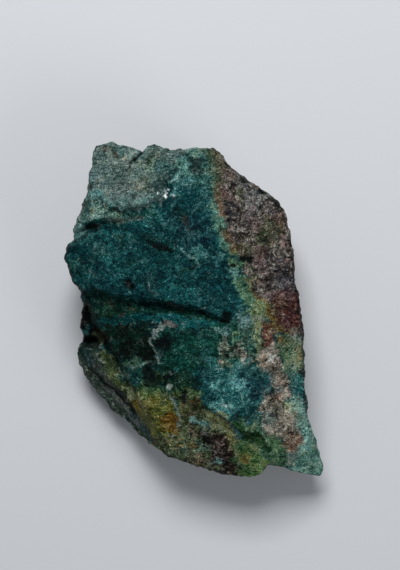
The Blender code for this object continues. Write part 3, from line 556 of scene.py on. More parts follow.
    ("plum", 42.6, 10.4, 4, 3, -40), ("black", 23.6, 22.8, 2.2, 0.9, 8), ("pink", 28.5, 21.5, 2.6, 1.4, 0),
    ("brown", 37, 0.5, 3.5, 2.5, 50), ("maroon", 42, -5, 3.5, 2.5, 0),
    ("pale green", 12, 33.5, 1.3, 2.2, 15), ("pale teal", 18, 16, 2, 2.5, 0),
    ("yellow green", 17.5, 25.5, 1.6, 0.9, -45),
    # The left edge, from the recess down.
    ("teal", -49, -22, 2.5, 3.5, 0), ("grey", -44.5, -20.5, 0.8, 0.6, 0),
    ("teal", -23.5, -55.5, 2.2, 4, 45), ("dark teal", -27, -51, 2, 4, 35), ("teal", -49.5, -10, 2, 2, 0),
    ("brown", -43, -12, 1.5, 2.5, 40), ("mist", -44.5, -16.3, 2.4, 1.1, 0),
    # Touches laid over all of these.
    ("mist", -30, 67, 6.5, 2.8, 0), ("mist", -25.5, 70.8, 3.2, 2, 0), ("mist", -37.5, 67.5, 3, 3.4, 0),
    ("haze", -23, 48.2, 3.6, 1.4, 5), ("dark teal", -26, 41.3, 2.4, 1.6, 0), ("mint", -35, 41, 2, 1.3, 0),
    # The first haze patch here is painted light that offsets the shade below the left ledge.
    ("haze", -51.5, 34.5, 2.4, 2.8, 0), ("haze", -45.5, 51.5, 2.2, 1.8, 0), ("mist", 44, -67.3, 2.6, 3, 0),
    ("pale green", 45, -45.5, 3.6, 3.6, 0), ("mid teal", 22, -26, 4.4, 3.2, 0),
    ("moss", 25.3, -19.3, 1.8, 2.2, 0), ("umber", 22, -15.6, 2.4, 1.2, 0),
    ("mid teal", 5.8, -19, 2.6, 2.4, 0), ("dark teal", 3, -10.3, 2.8, 1.8, 0),
    ("dark teal", -19.2, -7.6, 4, 2.6, 0), ("plum", 38.3, 20.6, 4.6, 3.2, 0),
    ("pink", 41.2, 28, 2.2, 1.8, 0), ("pink", 35, 6, 2.4, 1.6, 0), ("tan", 44.5, -10.5, 2.6, 1.8, 0),
    # The rind patch on the lump's rim is partly painted light.
    ("olive", -22.4, -42, 4, 3, 0), ("rind", 9.6, -49.2, 4.6, 3, -30),
    ("dark teal", 19, -48.2, 2.6, 1.8, -25), ("umber", -51.8, -20, 3, 3, 0),
    ("mid teal", -42, 28, 3.2, 1.6, 0), ("mid teal", -32, 28, 3.2, 1.6, 0),
    ("dark teal", -48, 13.4, 2.2, 3.2, 0), ("dark teal", -19.2, 10.6, 2.8, 3.2, 0),
    ("dark teal", 3, 6, 2, 1.8, 0), ("rust", 35, -26.2, 2.4, 1.6, 0), ("mint", 47.5, -67, 2, 2, 0),
    ("pink", 15.8, 50.8, 2, 2, 0), ("slate", 37.5, -35.2, 2, 1.8, 0), ("mid teal", -10, 38, 2.6, 2, 0),
    ("cream", 42.5, -50, 3.4, 3, 0), ("pale green", 47, -48.5, 2.6, 3.2, 0), ("pink", 16, 60, 2.4, 2.6, 0),
    ("mid teal", -3.3, 56, 2.8, 2.4, 0), ("dark teal", -1.6, 33.2, 3.4, 3.2, 0),
    ("bright teal", 2, 24, 3.2, 2.8, 0), ("black", 17.6, 19.6, 1.6, 0.9, 20),
    ("olive", -45, -14.6, 2.4, 3, 0), ("bottle", -7.2, -31.4, 3, 2.6, 0), ("umber", -13, -38.4, 3, 2.6, 0),
    ("umber", -32.6, -45.6, 2.4, 2.4, 0), ("olive", -25.6, 66, 2.2, 1.6, 0),
    ("dark teal", -6.4, -9.4, 2.6, 2, 0), ("tan", 34.6, -9.6, 2.4, 2.2, 0),
    # The rind patch at the mustard corner is partly painted light against the sheet edge's shade.
    ("rind", -28.8, -40, 3.6, 3, 30), ("pale green", 51.5, -74.5, 2.6, 2, 0),
    ("umber", -45.4, -22.6, 2.4, 2, 0), ("moss", -31.6, -30, 2.2, 2, 0), ("maroon", 37.5, 40.8, 2.6, 2, 0),
    ("tan", 18.8, 27.6, 2, 2, 0), ("olive", -35.6, -26, 2.4, 2, 0),
)
# Lines painted over the patches: palette, half width and softness in mm, points in mm.
STRIPES = {
    "band 1": ("dark teal", 0.5, 0.8,
        ((-52.5, 30.5), (-46, 34.5), (-40, 36.5), (-33.5, 37), (-27, 35), (-20, 32.5), (-12.5, 28))),
    "band 2": ("dark teal", 0.3, 0.8,
        ((-35, 29.3), (-29, 30.4), (-23, 30.6))),
    "contact green": ("moss", 1.3, 1.4,
        ((5, 71.5), (8, 64.5), (9.4, 55.5), (9.8, 48), (11.2, 40), (13, 32), (15, 26.5), (19, 23.5))),
    "contact mint": ("mint", 1.3, 1.4,
        ((8.4, 46), (9.2, 41.5), (10.4, 36.5), (12, 32), (13.8, 28))),
    "contact orange": ("orange brown", 1.3, 1.4,
        ((10.3, 55), (11, 49), (11.9, 43.5), (13.2, 36.5), (14.9, 31), (17, 27))),
    "ochre line": ("ochre", 0.5, 0.6,
        ((22.5, 13.5), (25, 9), (28.5, 5.5), (32, 4))),
    "notch": ("black", 0.8, 0.8,
        ((20.6, 23), (22.5, 23.4), (24.5, 23.2))),
    "crack line": ("tan", 0.25, 0.4,
        ((33, 2), (35.5, -2.5), (38, -6), (41, -11), (44, -13))),
    "white arc": ("frost", 0.45, 0.6,
        ((-10.8, -39.5), (-8.6, -43), (-7.2, -47.5), (-7, -51), (-9, -55), (-10, -57.5))),
    "mustard line": ("amber", 1.1, 1.0,
        ((8.5, -49), (12.5, -51), (16, -54.5), (17.5, -59.5), (19, -65), (20, -71))),
    # Painted shade along the lower part of the fold's wall.
    "fold shade line": ("pine", 1.7, 0.8,
        ((30, -58.8), (31.8, -60.8), (33.6, -63.4))),
    "blue lip": ("pale teal", 0.45, 0.6,
        ((15.5, -51), (18, -53.5), (20, -56.5))),
    "scoop rim": ("haze", 0.9, 0.9,
        ((-43, 51.5), (-39, 49.5), (-34.5, 47.5), (-30, 45.5), (-25.5, 46.5), (-20, 47.5), (-16.5, 50),
         (-13.5, 52))),
    "crevice": ("black", 0.35, 0.5,
        ((-30, 63), (-28.5, 65.5), (-26, 68), (-24, 70))),
    "block rim": ("ash", 0.8, 0.8,
        ((-53, 40), (-47, 41.5), (-41, 42), (-37, 41), (-33, 40.5))),
    "edge vein 1": ("grey", 0.35, 0.5,
        ((-48, -26.5), (-43.5, -31), (-39, -35.5), (-34.5, -39.5), (-30, -45))),
    "edge vein 2": ("grey", 0.3, 0.5,
        ((-47, -29.5), (-41.5, -36), (-36, -41.5), (-30.5, -48), (-26, -53))),
    "white thread": ("frost", 0.3, 0.5,
        ((-20, -14.5), (-18.5, -17.5), (-17, -20), (-16.5, -22.5), (-16, -24.5))),
    "streak": ("ash", 0.15, 0.5,
        ((-21.5, 13.5), (-20, 9.5), (-17.5, 6.5))),
    "streak 2": ("pale teal", 0.3, 0.7,
        ((-6.5, 27), (-3, 25), (0.5, 22.5), (2.5, 19.5))),
    "brown line": ("tan", 0.5, 0.6,
        ((-39, 73), (-36.5, 69.5), (-34, 66.5))),
    "rust row": ("brown", 0.5, 0.7,
        ((-34.5, 40), (-30, 39.3), (-26.5, 40.3), (-23, 41))),
    "white streak": ("grey", 0.15, 0.4,
        ((42, -30.8), (43.5, -33.5), (45.3, -37.6))),
    "white curve": ("cream", 0.1, 0.5,
        ((22.5, 31.5), (24.5, 34.5), (27.5, 36.5), (31, 37), (34, 35.8), (35.8, 33))),
    "lens arc": ("cream", 0.05, 0.5,
        ((20.5, 25.5), (22.5, 28), (25, 29), (28, 28))),
    "contact olive": ("olive", 2.2, 1.6,
        ((6.5, 72.5), (7.6, 67), (8.6, 61.5), (10, 56))),
    # Painted shade: a dark line along the right edge, where the side falls away from the light.
    "right rim shade": ("bark", 1.6, 1.0,
        ((16, 64.5), (23.5, 60), (31, 56.5), (36, 51.5), (41, 46), (43.5, 39), (45, 28.5), (46, 17),
         (47.5, 3.5), (49, -8), (50, -21.5), (51, -33), (52, -44.5))),
}


# Shape, as in the solid.


def smooth_step(value):
    """0 below 0, 1 above 1, and an S curve between."""
    value = np.clip(value, 0, 1)
    return value * value * (3 - 2 * value)


def smooth_lowest(heights, blend):
    """The lowest of several heights, with the creases between them rounded by blend mm."""
    heights = np.array(heights)
    lowest = heights.min(axis=0)
    return lowest - blend * np.log(np.exp((lowest - heights) / blend).sum(axis=0))


def plane(x, y, point, height, slope):
    """Height of a tilted plane that passes through one point."""
    return height + slope[0] * (x - point[0]) + slope[1] * (y - point[1])


def along_line(x, y, points):
    """Distance from a line of points, above 0 on its left, and the place along it from 0 to 1.

    Where two segments are equally near, at their shared corner, the one whose own line lies farther
    off gives the side.
    """
    points = np.array(points, float)
    starts, steps = points[:-1], np.diff(points, axis=0)
    lengths = np.hypot(steps[:, 0], steps[:, 1])
    before = np.concatenate([[0], np.cumsum(lengths)])
    nearest = np.full(x.shape, np.inf)
    side = np.zeros(x.shape)
    place = np.zeros(x.shape)
    for start, step, length, passed in zip(starts, steps, lengths, before):
        across, up = x - start[0], y - start[1]
        share = np.clip((across * step[0] + up * step[1]) / length**2, 0, 1)
        gap = np.hypot(across - share * step[0], up - share * step[1])
        offset = (step[0] * up - step[1] * across) / length
        gap -= TIE_BREAK * np.abs(offset)
        closer = gap < nearest
        nearest = np.where(closer, gap, nearest)
        side = np.where(closer, np.sign(offset), side)
        place = np.where(closer, (passed + share * length) / before[-1], place)
    return nearest * side, place


def fade_ends(place, share=0.16):
    """1 along a line, easing to 0 at both of its ends."""
    return smooth_step(place / share) * smooth_step((1 - place) / share)


def noise(points, seed):
    """Gradient noise, about -1 to 1: cell corners hold random slopes, blended by a quintic curve."""
    random = np.random.default_rng(seed)
    order = random.permutation(NOISE_CELLS)
    slopes = random.normal(size=(NOISE_CELLS, 3))
    last = NOISE_CELLS - 1
    slopes /= np.linalg.norm(slopes, axis=1)[:, None]
    cell = np.floor(points).astype(int)
    inside = points - cell
    weight = inside**3 * (inside * (inside * 6 - 15) + 10)
    total = np.zeros(len(points))
    for corner in itertools.product((0, 1), repeat=3):
        place = cell + corner
        pick = order[(order[(order[place[:, 0] & last] + place[:, 1]) & last] + place[:, 2]) & last]
        share = np.where(corner, weight, 1 - weight).prod(axis=1)
        total += share * ((inside - corner) * slopes[pick]).sum(axis=1)
    return total * NOISE_GAIN


def chips(points, seed):
    """Shallow scoops that meet in sharp ridges: the squared distance to the nearest of random seeds."""
    spread = np.random.default_rng(seed).random((NOISE_CELLS, 3))
    cell = np.floor(points).astype(int)
    nearest = np.full(len(points), np.inf)
    for corner in itertools.product((-1, 0, 1), repeat=3):
        place = cell + corner
        pick = place @ CHIP_STEPS & (NOISE_CELLS - 1)
        nearest = np.minimum(nearest, ((place + spread[pick] - points) ** 2).sum(axis=1))
    return nearest


def layered_noise(points, layers):
    """The sum of layers of noise, each with its size, height and seed."""
    return sum(height * noise(points / size, seed) for size, height, seed in layers)


def layered_chips(points, layers):
    """The sum of layers of chips, each with its size, depth and seed."""
    return sum(depth * (chips(points / size, seed) - CHIP_LEVEL) for size, depth, seed in layers)


def outline_radius(angle, outline):
    """Distance from the middle to an outline, where a ray at each angle crosses it."""
    corners = np.array(outline, float)
    turns = np.arctan2(corners[:, 1], corners[:, 0])
    order = np.argsort(turns)
    corners, turns = corners[order], turns[order]
    first = (np.searchsorted(turns, angle) - 1) % len(turns)
    a, b = corners[first], corners[(first + 1) % len(turns)]
    edge = b - a
    area = a[:, 0] * edge[:, 1] - a[:, 1] * edge[:, 0]
    return area / (np.cos(angle) * edge[:, 1] - np.sin(angle) * edge[:, 0])


def facet_height(x, y):
    """The lowest of the broad face's facets; the lower ones count only past their line."""
    heights = [plane(x, y, *facet) for facet in OPEN_FACETS.values()]
    for point, height, slope, line in LOWER_FACETS.values():
        distance, _ = along_line(x, y, LINES[line])
        lift = STEP_RISE * smooth_step(STEP_SHIFT - distance / STEP_WIDTH)
        heights.append(plane(x, y, point, height, slope) + lift)
    return smooth_lowest(heights, CREASE)


def relief_height(x, y):
    """Ledges, beads, hollows and lumps that stand on the facets or sink into them."""
    relief = np.zeros(x.shape)
    for line, (height, width, reach) in LEDGES.items():
        distance, place = along_line(x, y, LINES[line])
        lift = smooth_step(-distance / width + 0.5) * np.exp(-((distance / reach) ** 2))
        relief += height * fade_ends(place) * lift
    for line, (height, width) in BEADS.items():
        distance, place = along_line(x, y, LINES[line])
        relief += height * fade_ends(place) * np.exp(-((distance / width) ** 2))
    for (across, up), height, radius in HOLLOWS + PITS:
        relief += height * np.exp(-(((x - across) ** 2 + (y - up) ** 2) / radius**2))
    return relief


def pit_depth(x, y):
    """How deep the pits and the narrow grooves are at a place, in mm."""
    depth = np.zeros(x.shape)
    for line, (height, width) in BEADS.items():
        if height < 0 and width < NARROW:
            distance, place = along_line(x, y, LINES[line])
            depth -= height * fade_ends(place) * np.exp(-((distance / width) ** 2))
    for (across, up), height, radius in PITS:
        depth -= height * np.exp(-(((x - across) ** 2 + (y - up) ** 2) / radius**2))
    return depth


def underside(x, y):
    """Height of the underside: the highest of facets that rise outwards, over the flat cut."""
    corners = np.array(OUTLINE, float)
    heights = [np.full(x.shape, BASE_CUT)]
    for azimuth, height, slope in UNDER_FACETS:
        out = np.array((np.cos(np.radians(azimuth)), np.sin(np.radians(azimuth))))
        reach = (corners @ out).max()
        heights.append(-height - slope * (x * out[0] + y * out[1] - reach))
    return -smooth_lowest(heights, CREASE)


def belt_places(radius, low_radius, top_z, low_z, level):
    """Distance from the middle and height on the belt: a rounded edge above, a plain slant below."""
    turn = level * np.pi / 2
    bulge = EDGE_ROUND * np.maximum(np.cos(turn), 0) ** BELT_SQUARENESS
    rise = (1 + np.sign(turn) * np.abs(np.sin(turn)) ** BELT_SQUARENESS) / 2
    slant = smooth_step(rise * (1 - BELT_LEAN) + BELT_LEAN)
    return low_radius + (radius - low_radius) * slant + bulge, low_z + (top_z - low_z) * rise


def roughen(points, normals, face_share):
    """Moves points along their normals by noise, chips and, away from the broad face, layers."""
    length, thickness, layer_height, seed = LAYERS
    layers = layer_height * noise(points / (length, length, thickness), seed)
    side = layers + layered_chips(points, SIDE_CHIPS)
    height = side * (1 - face_share) + layered_chips(points, FACE_CHIPS) * face_share
    return points + normals * (height + layered_noise(points, ROUGHNESS))[:, None]


def face_grid(count):
    """Points of a square grid over -1 to 1, its cells as faces, and its rim in anticlockwise order."""
    steps = np.linspace(-1, 1, count + 1)
    u, v = np.meshgrid(steps, steps)
    index = np.arange((count + 1) ** 2).reshape(count + 1, count + 1)
    cells = np.stack([index[:-1, :-1], index[:-1, 1:], index[1:, 1:], index[1:, :-1]], axis=-1)
    rim = np.concatenate([index[0, :-1], index[:-1, -1], index[-1, :0:-1], index[:0:-1, 0]])
    return u.ravel(), v.ravel(), cells.reshape(-1, 4), rim


def ring_faces(upper, lower):
    """Four-sided faces between two rings of vertices, facing out when both run anticlockwise."""
    return np.stack([upper, lower, np.roll(lower, -1), np.roll(upper, -1)], axis=1)


def stone_shape():
    """Points, faces and level of the closed stone: 1 on the broad face, 1 to -1 down the belt."""
    u, v, cells, rim = face_grid(FACE_CELLS)
    share = np.maximum(np.abs(u), np.abs(v))
    angle = np.arctan2(v, u)
    reach = (outline_radius(angle, OUTLINE) - EDGE_ROUND) * share
    x, y = reach * np.cos(angle), reach * np.sin(angle)
    points = [np.stack([x, y, facet_height(x, y) + relief_height(x, y)], axis=1)]
    levels = [np.ones(len(x))]

    around = angle[rim]
    cos, sin = np.cos(around), np.sin(around)
    radius, top_z = reach[rim], points[0][rim, 2]
    low_radius = outline_radius(around, LOW_OUTLINE)
    low_z = np.minimum(underside(low_radius * cos, low_radius * sin), top_z - BELT_LEAST)
    rings = [rim]
    count = len(x)
    for level in np.linspace(1, -1, BELT_ROWS + 1)[1:]:
        far, height = belt_places(radius, low_radius, top_z, low_z, level)
        points.append(np.stack([far * cos, far * sin, height], axis=1))
        levels.append(np.full(len(rim), level))
        rings.append(count + np.arange(len(rim)))
        count += len(rim)
    for part in np.linspace(1, 0, UNDER_RINGS + 1)[1:-1]:
        far_x, far_y = low_radius * cos * part, low_radius * sin * part
        height = np.minimum(underside(far_x, far_y), top_z - BELT_LEAST)
        points.append(np.stack([far_x, far_y, height], axis=1))
        levels.append(np.full(len(rim), -1.0))
        rings.append(count + np.arange(len(rim)))
        count += len(rim)
    points.append(np.array([[0, 0, -BASE_CUT]]))
    levels.append(np.array([-1.0]))

    faces = [cells, *(ring_faces(upper, lower) for upper, lower in zip(rings, rings[1:]))]
    last = rings[-1]
    fan = np.stack([last, np.full(len(last), count), np.roll(last, -1)], axis=1)
    return np.concatenate(points), np.concatenate(faces), fan, np.concatenate(levels)


def make_stone():
    """The stone: wrapped, roughened along its normals, set to the solid's place and cut flat below."""
    points, quads, fan, level = stone_shape()
    mesh = bpy.data.meshes.new("stone_surface")
    mesh.from_pydata(points, [], quads.tolist() + fan.tolist())
    normals = np.empty(len(points) * 3)
    mesh.vertices.foreach_get("normal", normals)
    normals = normals.reshape(-1, 3)
    face_share = smooth_step((level - FACE_CHIPS_FROM) / (FACE_CHIPS_FULL - FACE_CHIPS_FROM))
    inside = inside_outline(points[:, 0], points[:, 1], OUTLINE)
    rim_share = np.where(level < 1, 1, smooth_step(1 - inside / RIM_WIDTH))
    fine = layered_noise(points, FINE_ROUGHNESS) + rim_share * layered_noise(points, RIM_ROUGHNESS)
    rough = roughen(points, normals, face_share) + normals * fine[:, None]
    box = np.array(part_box(NODE)) / MM
    rough[:, :2] += (box[0] + box[1] - rough.min(axis=0) - rough.max(axis=0))[:2] / 2
    rough[:, 2] = np.maximum(rough[:, 2], 0)
    mesh.vertices.foreach_set("co", (rough * MM).ravel())
    mesh.shade_smooth()
    paint_stone(mesh, points, level)
    stone = bpy.data.objects.new("stone", mesh)
    bpy.context.collection.objects.link(stone)
    return stone


# Colours on the vertices.


def linear(colour):
    """Linear light of a display colour given as 0 to 255, less what the gloss adds to it."""
    value = np.array(colour) / 255
    light = np.where(value < 0.04045, value / 12.92, ((value + 0.055) / 1.055) ** 2.4)
    return np.maximum(light - GLOSS, LEAST_LIGHT)


def inside_outline(x, y, outline):
    """Distance from a closed outline, above 0 inside it."""
    closed = (*outline, outline[0])
    distance, _ = along_line(x, y, closed)
    corners = np.array(closed, float)
    within = np.zeros(x.shape, bool)
    for (x1, y1), (x2, y2) in zip(corners, corners[1:]):
        crosses = (y1 > y) != (y2 > y)
        if y1 != y2:
            within ^= crosses & (x < (x2 - x1) * (y - y1) / (y2 - y1) + x1)
    return np.where(within, 1, -1) * np.abs(distance)


def blend_values(values, target, mask):
    """Moves each vertex's values towards a target's by a mask."""
    return values + (target - values) * mask[:, None]


def zone_values(speckle, colours):
    """One row of what a zone sets: how speckled it is, then its dark, middle and light colour."""
    return np.concatenate([[speckle], *(linear(colour) for colour in colours)])


def patch_distance(x, y, across, up, length, width, turn):
    """Distance inwards from the edge of an oval patch, above 0 inside it."""
    cos, sin = np.cos(np.radians(turn)), np.sin(np.radians(turn))
    along = ((x - across) * cos + (y - up) * sin) / length
    aside = ((y - up) * cos - (x - across) * sin) / width
    return (1 - np.hypot(along, aside)) * min(length, width)


def store(mesh, name, values):
    """Gives every vertex a value, or a colour where each has three, under a name."""
    if values.ndim == 1:
        mesh.attributes.new(name, "FLOAT", "POINT").data.foreach_set("value", values)
    else:
        colours = np.column_stack([values, np.ones(len(values))])
        mesh.attributes.new(name, "FLOAT_COLOR", "POINT").data.foreach_set("color", colours.ravel())


def painted(x, y, tears):
    """The speckle and the three colours of every vertex: zones, then patches, then stripes."""
    values = np.repeat(zone_values(TEAL_SPECKLE, TEAL)[None], len(x), axis=0)
    count = 0

    def paint(target, depth, softness, tear, share=1.0):
        """Blends a target in where its depth is above 0, along an edge torn by about tear mm."""
        nonlocal values, count
        count += 1
        torn = np.cos(TEAR_TURN * count) * tears[0] + np.sin(TEAR_TURN * count) * tears[1]
        values = blend_values(values, target, share * smooth_step((depth + tear * torn) / softness + 0.5))

    for softness, speckle, *colours, outline in ZONES.values():
        tear = min(ZONE_TEAR * softness, ZONE_TEAR_MOST)
        paint(zone_values(speckle, colours), inside_outline(x, y, outline), softness, tear)
    for palette, across, up, length, width, turn in PATCHES:
        share, *colours = PALETTES[palette]
        depth = patch_distance(x, y, across, up, length, width, turn)
        tear = PATCH_TEAR * min(length, width, PATCH_TEAR_RADIUS)
        paint(zone_values(PATCH_SPECKLE, colours), depth, PATCH_SOFTNESS, tear, share)
    for palette, half_width, softness, line in STRIPES.values():
        share, *colours = PALETTES[palette]
        depth = half_width - np.abs(along_line(x, y, line)[0])
        paint(zone_values(STRIPE_SPECKLE, colours), depth, softness, STRIPE_TEAR * half_width, share)
    return values


def paint_stone(mesh, points, level):
    """Stores each vertex's three colours and speckle, the painted shade of the pits and narrow grooves it
    lies in, and how stroked it is.
    """
    x = points[:, 0] + layered_noise(points, DRIFT_X)
    y = points[:, 1] + layered_noise(points, DRIFT_Y)
    tears = [layered_noise(points, layers) for layers in TEARS]
    crust = smooth_step((CRUST_LEVEL - level) / CRUST_FADE + CRUST_TEAR * tears[0])
    values = blend_values(painted(x, y, tears), zone_values(CRUST_SPECKLE, CRUST), CRUST_SHARE * crust)
    store(mesh, "speckle", values[:, 0])
    for start, name in ((1, "dark"), (4, "middle"), (7, "light")):
        store(mesh, name, values[:, start:start + 3])
    # Painted shade in the pits and narrow grooves, blacker the deeper they are.
    pit_shade = smooth_step(pit_depth(x, y) / PIT_BLACK + PIT_TEAR * tears[0])
    depths = (inside_outline(x, y, ZONES[name][-1]) for name in STROKED_ZONES)
    stroked = sum(smooth_step(depth / STROKES_FADE) for depth in depths)
    store(mesh, "pit_shade", pit_shade * (level > ON_FACE))
    store(mesh, "stroked", stroked * (level > ON_FACE))


# Shader expressions.


class Link:
    """An output socket of a material, with arithmetic: each expression on links adds its Math nodes."""

    def __init__(self, tree, socket):
        self.tree = tree
        self.socket = socket

    def math(self, operation, first, second=0.0):
        """One Math node."""
        return node(self.tree, "ShaderNodeMath", {"operation": operation}, {0: first, 1: second})

    def size(self):
        """The same value without its sign."""
        return self.math("ABSOLUTE", self)

    def __add__(self, other):
        return self.math("ADD", self, other)

    def __sub__(self, other):
        return self.math("SUBTRACT", self, other)

    def __rsub__(self, other):
        return self.math("SUBTRACT", other, self)

    def __mul__(self, other):
        return self.math("MULTIPLY", self, other)

    def __truediv__(self, other):
        return self.math("DIVIDE", self, other)

    def __pow__(self, other):
        return self.math("POWER", self, other)

    __radd__ = __add__
    __rmul__ = __mul__

    def clipped(self):
        """The same value, kept from 0 to 1."""
        return node(self.tree, "ShaderNodeClamp", {}, {"Value": self})

    def sharper(self, times):
        """The same value, spread out around 0.5 and kept from 0 to 1."""
        return ((self - 0.5) * times + 0.5).clipped()

    def above(self, level, times):
        """0 up to a level, then a rise to 1 at so many times the value's own."""
        return ((self - level) * times).clipped()


def node(tree, kind, settings, inputs, output=0):
    """One node: its settings first, then its sockets, by name or number, from links or plain values."""
    made = tree.nodes.new(kind)
    for name, value in settings.items():
        setattr(made, name, value)
    for name, value in inputs.items():
        if isinstance(value, Link):
            tree.links.new(value.socket, made.inputs[name])
        else:
            made.inputs[name].default_value = value
    return Link(tree, made.outputs[output])


def mixed(tree, share, first, second, blend="MIX"):
    """Two colours mixed by a share."""
    return node(tree, "ShaderNodeMix", {"data_type": "RGBA", "blend_type": blend},
                {0: share, 6: first, 7: second}, 2)


def mottle(tree, place, size, detail=3.0, roughness=0.6, output=0):
    """Noise from 0 to 1 whose largest lumps are about size mm across."""
    return node(tree, "ShaderNodeTexNoise", {},
                {"Vector": place, "Scale": 1 / size, "Detail": detail, "Roughness": roughness}, output)


def grains(tree, place, size):
    """A random value from 0 to 1 for each grain of about size mm."""
    cells = node(tree, "ShaderNodeTexVoronoi", {},
                 {"Vector": place, "Scale": 1 / size, "Randomness": 1.0}, 1)
    return node(tree, "ShaderNodeVectorMath", {"operation": "DOT_PRODUCT"}, {0: cells, 1: (1 / 3,) * 3}, 1)


def threads(tree, place, size, width):
    """Thin bent lines, 1 along them: where a noise of that size passes its middle value."""
    wave = mottle(tree, place, size, detail=4.0) - 0.5
    return (1 - wave.size() / width).clipped()


def bent(tree, place, size, reach):
    """Places pushed around by up to about reach mm, so that a pattern on them bends and swirls.

    The push is a noise's colour less its middle, which seldom gets past a quarter: hence the 4.
    """
    push = node(tree, "ShaderNodeVectorMath", {"operation": "SUBTRACT"},
                {0: mottle(tree, place, size, detail=2.0, roughness=0.5, output=1), 1: (0.5, 0.5, 0.5)})
    push = node(tree, "ShaderNodeVectorMath", {"operation": "SCALE"}, {0: push, "Scale": reach * 4})
    return node(tree, "ShaderNodeVectorMath", {"operation": "ADD"}, {0: place, 1: push})


def turned(tree, place, angle, stretch):
    """Places turned about Z and squeezed along X, so that a pattern on them runs in strokes."""
    return node(tree, "ShaderNodeMapping", {},
                {"Vector": place, "Rotation": (0, 0, math.radians(angle)), "Scale": (1 / stretch, 1, 1)})


def dusted(tree, colour, dust):
    """A colour with grey added as the eye sees it, less where it is dark: grain that keeps the hue."""
    seen = node(tree, "ShaderNodeGamma", {}, {"Color": colour, "Gamma": 1 / EYE_GAMMA})
    brightness = node(tree, "ShaderNodeRGBToBW", {}, {"Color": seen})
    dust = dust * (DARK_GRAIN + brightness * GRAIN_RISE).clipped()
    red = dust * (DARK_RED + brightness * GRAIN_RISE).clipped()
    grey = node(tree, "ShaderNodeCombineColor", {}, {0: red, 1: dust, 2: dust})
    summed = node(tree, "ShaderNodeMix", {"data_type": "RGBA", "blend_type": "ADD", "clamp_result": True},
                  {0: 1.0, 6: seen, 7: grey}, 2)
    return node(tree, "ShaderNodeGamma", {}, {"Color": summed, "Gamma": EYE_GAMMA})


def stored(tree, name, output=0):
    """What the mesh stores under a name: its colour, or its value at output 2."""
    return node(tree, "ShaderNodeAttribute", {"attribute_name": name}, {}, output)


def stone_material():
    """Stone that mixes each vertex's dark, middle and light colours by noise, with specks, threads, painted
    glints and painted shade in the pits.

    Sizes are in mm; the other numbers are shares, or the level and the rate at which a mark sets in.
    """
    material = bpy.data.materials.new("rough_stone")
    material.use_nodes = True
    tree = material.node_tree
    shader = tree.nodes["Principled BSDF"]
    coordinates = node(tree, "ShaderNodeTexCoord", {}, {}, 3)
    place = node(tree, "ShaderNodeVectorMath", {"operation": "SCALE"}, {0: coordinates, "Scale": 1 / MM})
    dark, middle, light = (stored(tree, name) for name in ("dark", "middle", "light"))
    speckle, pit_shade, stroked = (stored(tree, name, 2) for name in ("speckle", "pit_shade", "stroked"))

    # Patterns, from broad to fine.
    swirled = bent(tree, bent(tree, place, size=9.0, reach=2.0), size=2.5, reach=0.3)
    broad = mottle(tree, place, size=9.0, detail=2.0)
    medium = mottle(tree, swirled, size=3.4, detail=5.0).sharper(2.4)
    small = mottle(tree, swirled, size=1.5).sharper(3.0)
    grain = mottle(tree, place, size=0.5, detail=1.0, roughness=0.5)
    cells = grains(tree, place, size=0.6)
    fibres = threads(tree, swirled, size=2.6, width=0.045)
    rising = mottle(tree, turned(tree, place, angle=-45, stretch=8), size=0.9).sharper(1.4)
    falling = mottle(tree, turned(tree, swirled, angle=55, stretch=5), size=1.0)

    # The three colours of the zones.
    value = 0.5 + 1.1 * (broad - 0.5) + 0.5 * (medium - 0.5) + (0.15 + 0.55 * speckle) * (small - 0.5)
    value = value + stroked * (rising - 0.5) * 1.4 + (1 - stroked) * (falling - 0.5) * 0.9
    colour = mixed(tree, (value * 2).clipped(), dark, middle)
    colour = mixed(tree, (value * 2 - 1).clipped(), colour, light)
    for size, tint in ((6.0, WARM_TINT), (7.0, COOL_TINT)):
        tinted = mottle(tree, swirled, size=size).above(0.56, 7) * TINT_SHARE
        colour = mixed(tree, tinted, colour, mixed(tree, 1.0, colour, tint, "MULTIPLY"))

    # Pale flecks and veins, black holes and cracks, and the painted shade of the pits and narrow grooves.
    pale = mixed(tree, 0.1, light, PALE_FLECK)
    black = mixed(tree, 0.85, dark, HOLE_BLACK)
    flecks = mottle(tree, swirled, size=0.8, detail=2.0, roughness=0.7).above(0.62, 9)
    flecks = flecks * broad.above(0.45, 5)
    veins = threads(tree, swirled, size=7.0, width=0.02) * medium.above(0.5, 8)
    colour = mixed(tree, (flecks * (0.4 + 0.4 * speckle) + veins * 0.5).clipped(), colour, pale)
    holes = mottle(tree, swirled, size=1.8).above(0.60, 12)
    cracks = threads(tree, swirled, size=9.0, width=0.015) * grain.above(0.42, 8)
    colour = mixed(tree, (holes * (0.5 + 0.4 * speckle) + cracks * 0.6).clipped(), colour, black)
    # Painted shade in the pits.
    colour = mixed(tree, pit_shade * 0.9, colour, black)

    # Fine grain with sparse painted glints, gloss and relief.
    glint_specks = mottle(tree, place, size=0.75, detail=0.0).above(0.72, 10)
    dust = 0.65 * (grain - 0.5) + 0.16 * (cells - 0.5) + 0.12 * fibres * (0.4 + speckle) + 0.2 * glint_specks
    height = medium * 0.4 + small * 0.15 + grain * 0.35 + cells * 0.1 + fibres * 0.1
    height = height + stroked * rising * 0.25 + (1 - stroked) * falling * 0.2
    height = height - holes * 0.3 - cracks * 0.2
    bump = node(tree, "ShaderNodeBump", {},
                {"Height": height, "Distance": BUMP_DEPTH, "Strength": BUMP_STRENGTH})
    rough = 0.32 + 0.4 * grain
    for name, link in (("Base Color", dusted(tree, colour, dust)), ("Roughness", rough), ("Normal", bump)):
        tree.links.new(link.socket, shader.inputs[name])
    shader.inputs["Specular IOR Level"].default_value = SPECULAR
    return material


# Floor, light and camera.


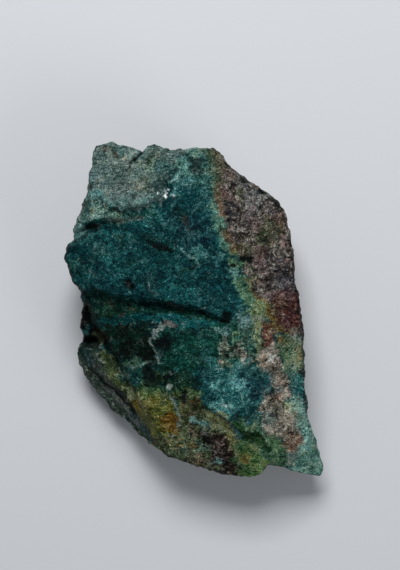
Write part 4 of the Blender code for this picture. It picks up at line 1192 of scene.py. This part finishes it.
def floor_material():
    """Even, pale and dull."""
    material = bpy.data.materials.new("pale_floor")
    material.use_nodes = True
    shader = material.node_tree.nodes["Principled BSDF"]
    shader.inputs["Base Color"].default_value = (*FLOOR_COLOUR, 1)
    shader.inputs["Roughness"].default_value = FLOOR_ROUGHNESS
    return material


def make_floor():
    """A square floor under the stone."""
    mesh = bpy.data.meshes.new("floor")
    corners = [(FLOOR_REACH * x, FLOOR_REACH * y, 0) for x, y in ((-1, -1), (1, -1), (1, 1), (-1, 1))]
    mesh.from_pydata(corners, [], [(0, 1, 2, 3)])
    floor = bpy.data.objects.new("floor", mesh)
    bpy.context.collection.objects.link(floor)
    mesh.materials.append(floor_material())


def add_softbox(name, place, size, power):
    """A square area light aimed at the stone."""
    light = bpy.data.lights.new(name, "AREA")
    light.size = size
    light.energy = power
    lamp = bpy.data.objects.new(name, light)
    lamp.location = place
    lamp.rotation_euler = (-Vector(place)).to_track_quat("-Z", "Y").to_euler()
    lamp.visible_camera = False
    bpy.context.collection.objects.link(lamp)


def light_scene():
    """A large soft light beyond the blunt end, a weak one by the pointed end, and a pale sky."""
    add_softbox("key", *KEY_LIGHT)
    add_softbox("fill", *FILL_LIGHT)
    world = bpy.data.worlds.new("sky")
    world.use_nodes = True
    background = world.node_tree.nodes["Background"]
    background.inputs["Color"].default_value = SKY_COLOUR
    background.inputs["Strength"].default_value = SKY_STRENGTH
    bpy.context.scene.world = world
    bpy.context.scene.view_settings.view_transform = "Standard"


def add_camera():
    """A camera straight above the stone, with its long side along the stone's length."""
    camera = bpy.data.cameras.new("camera")
    camera.sensor_width = SENSOR_MM
    camera.lens = SENSOR_MM * CAMERA_DISTANCE / FRAME_LENGTH
    eye = bpy.data.objects.new("camera", camera)
    eye.location = (FRAME_MIDDLE[0], FRAME_MIDDLE[1], FRAME_MIDDLE[2] + CAMERA_DISTANCE)
    bpy.context.collection.objects.link(eye)
    bpy.context.scene.camera = eye


def main():
    """Makes the stone, its stage and the camera."""
    stone = make_stone()
    stone.data.materials.append(stone_material())
    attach(stone, "root")
    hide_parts(NODE)
    make_floor()
    light_scene()
    add_camera()


main()
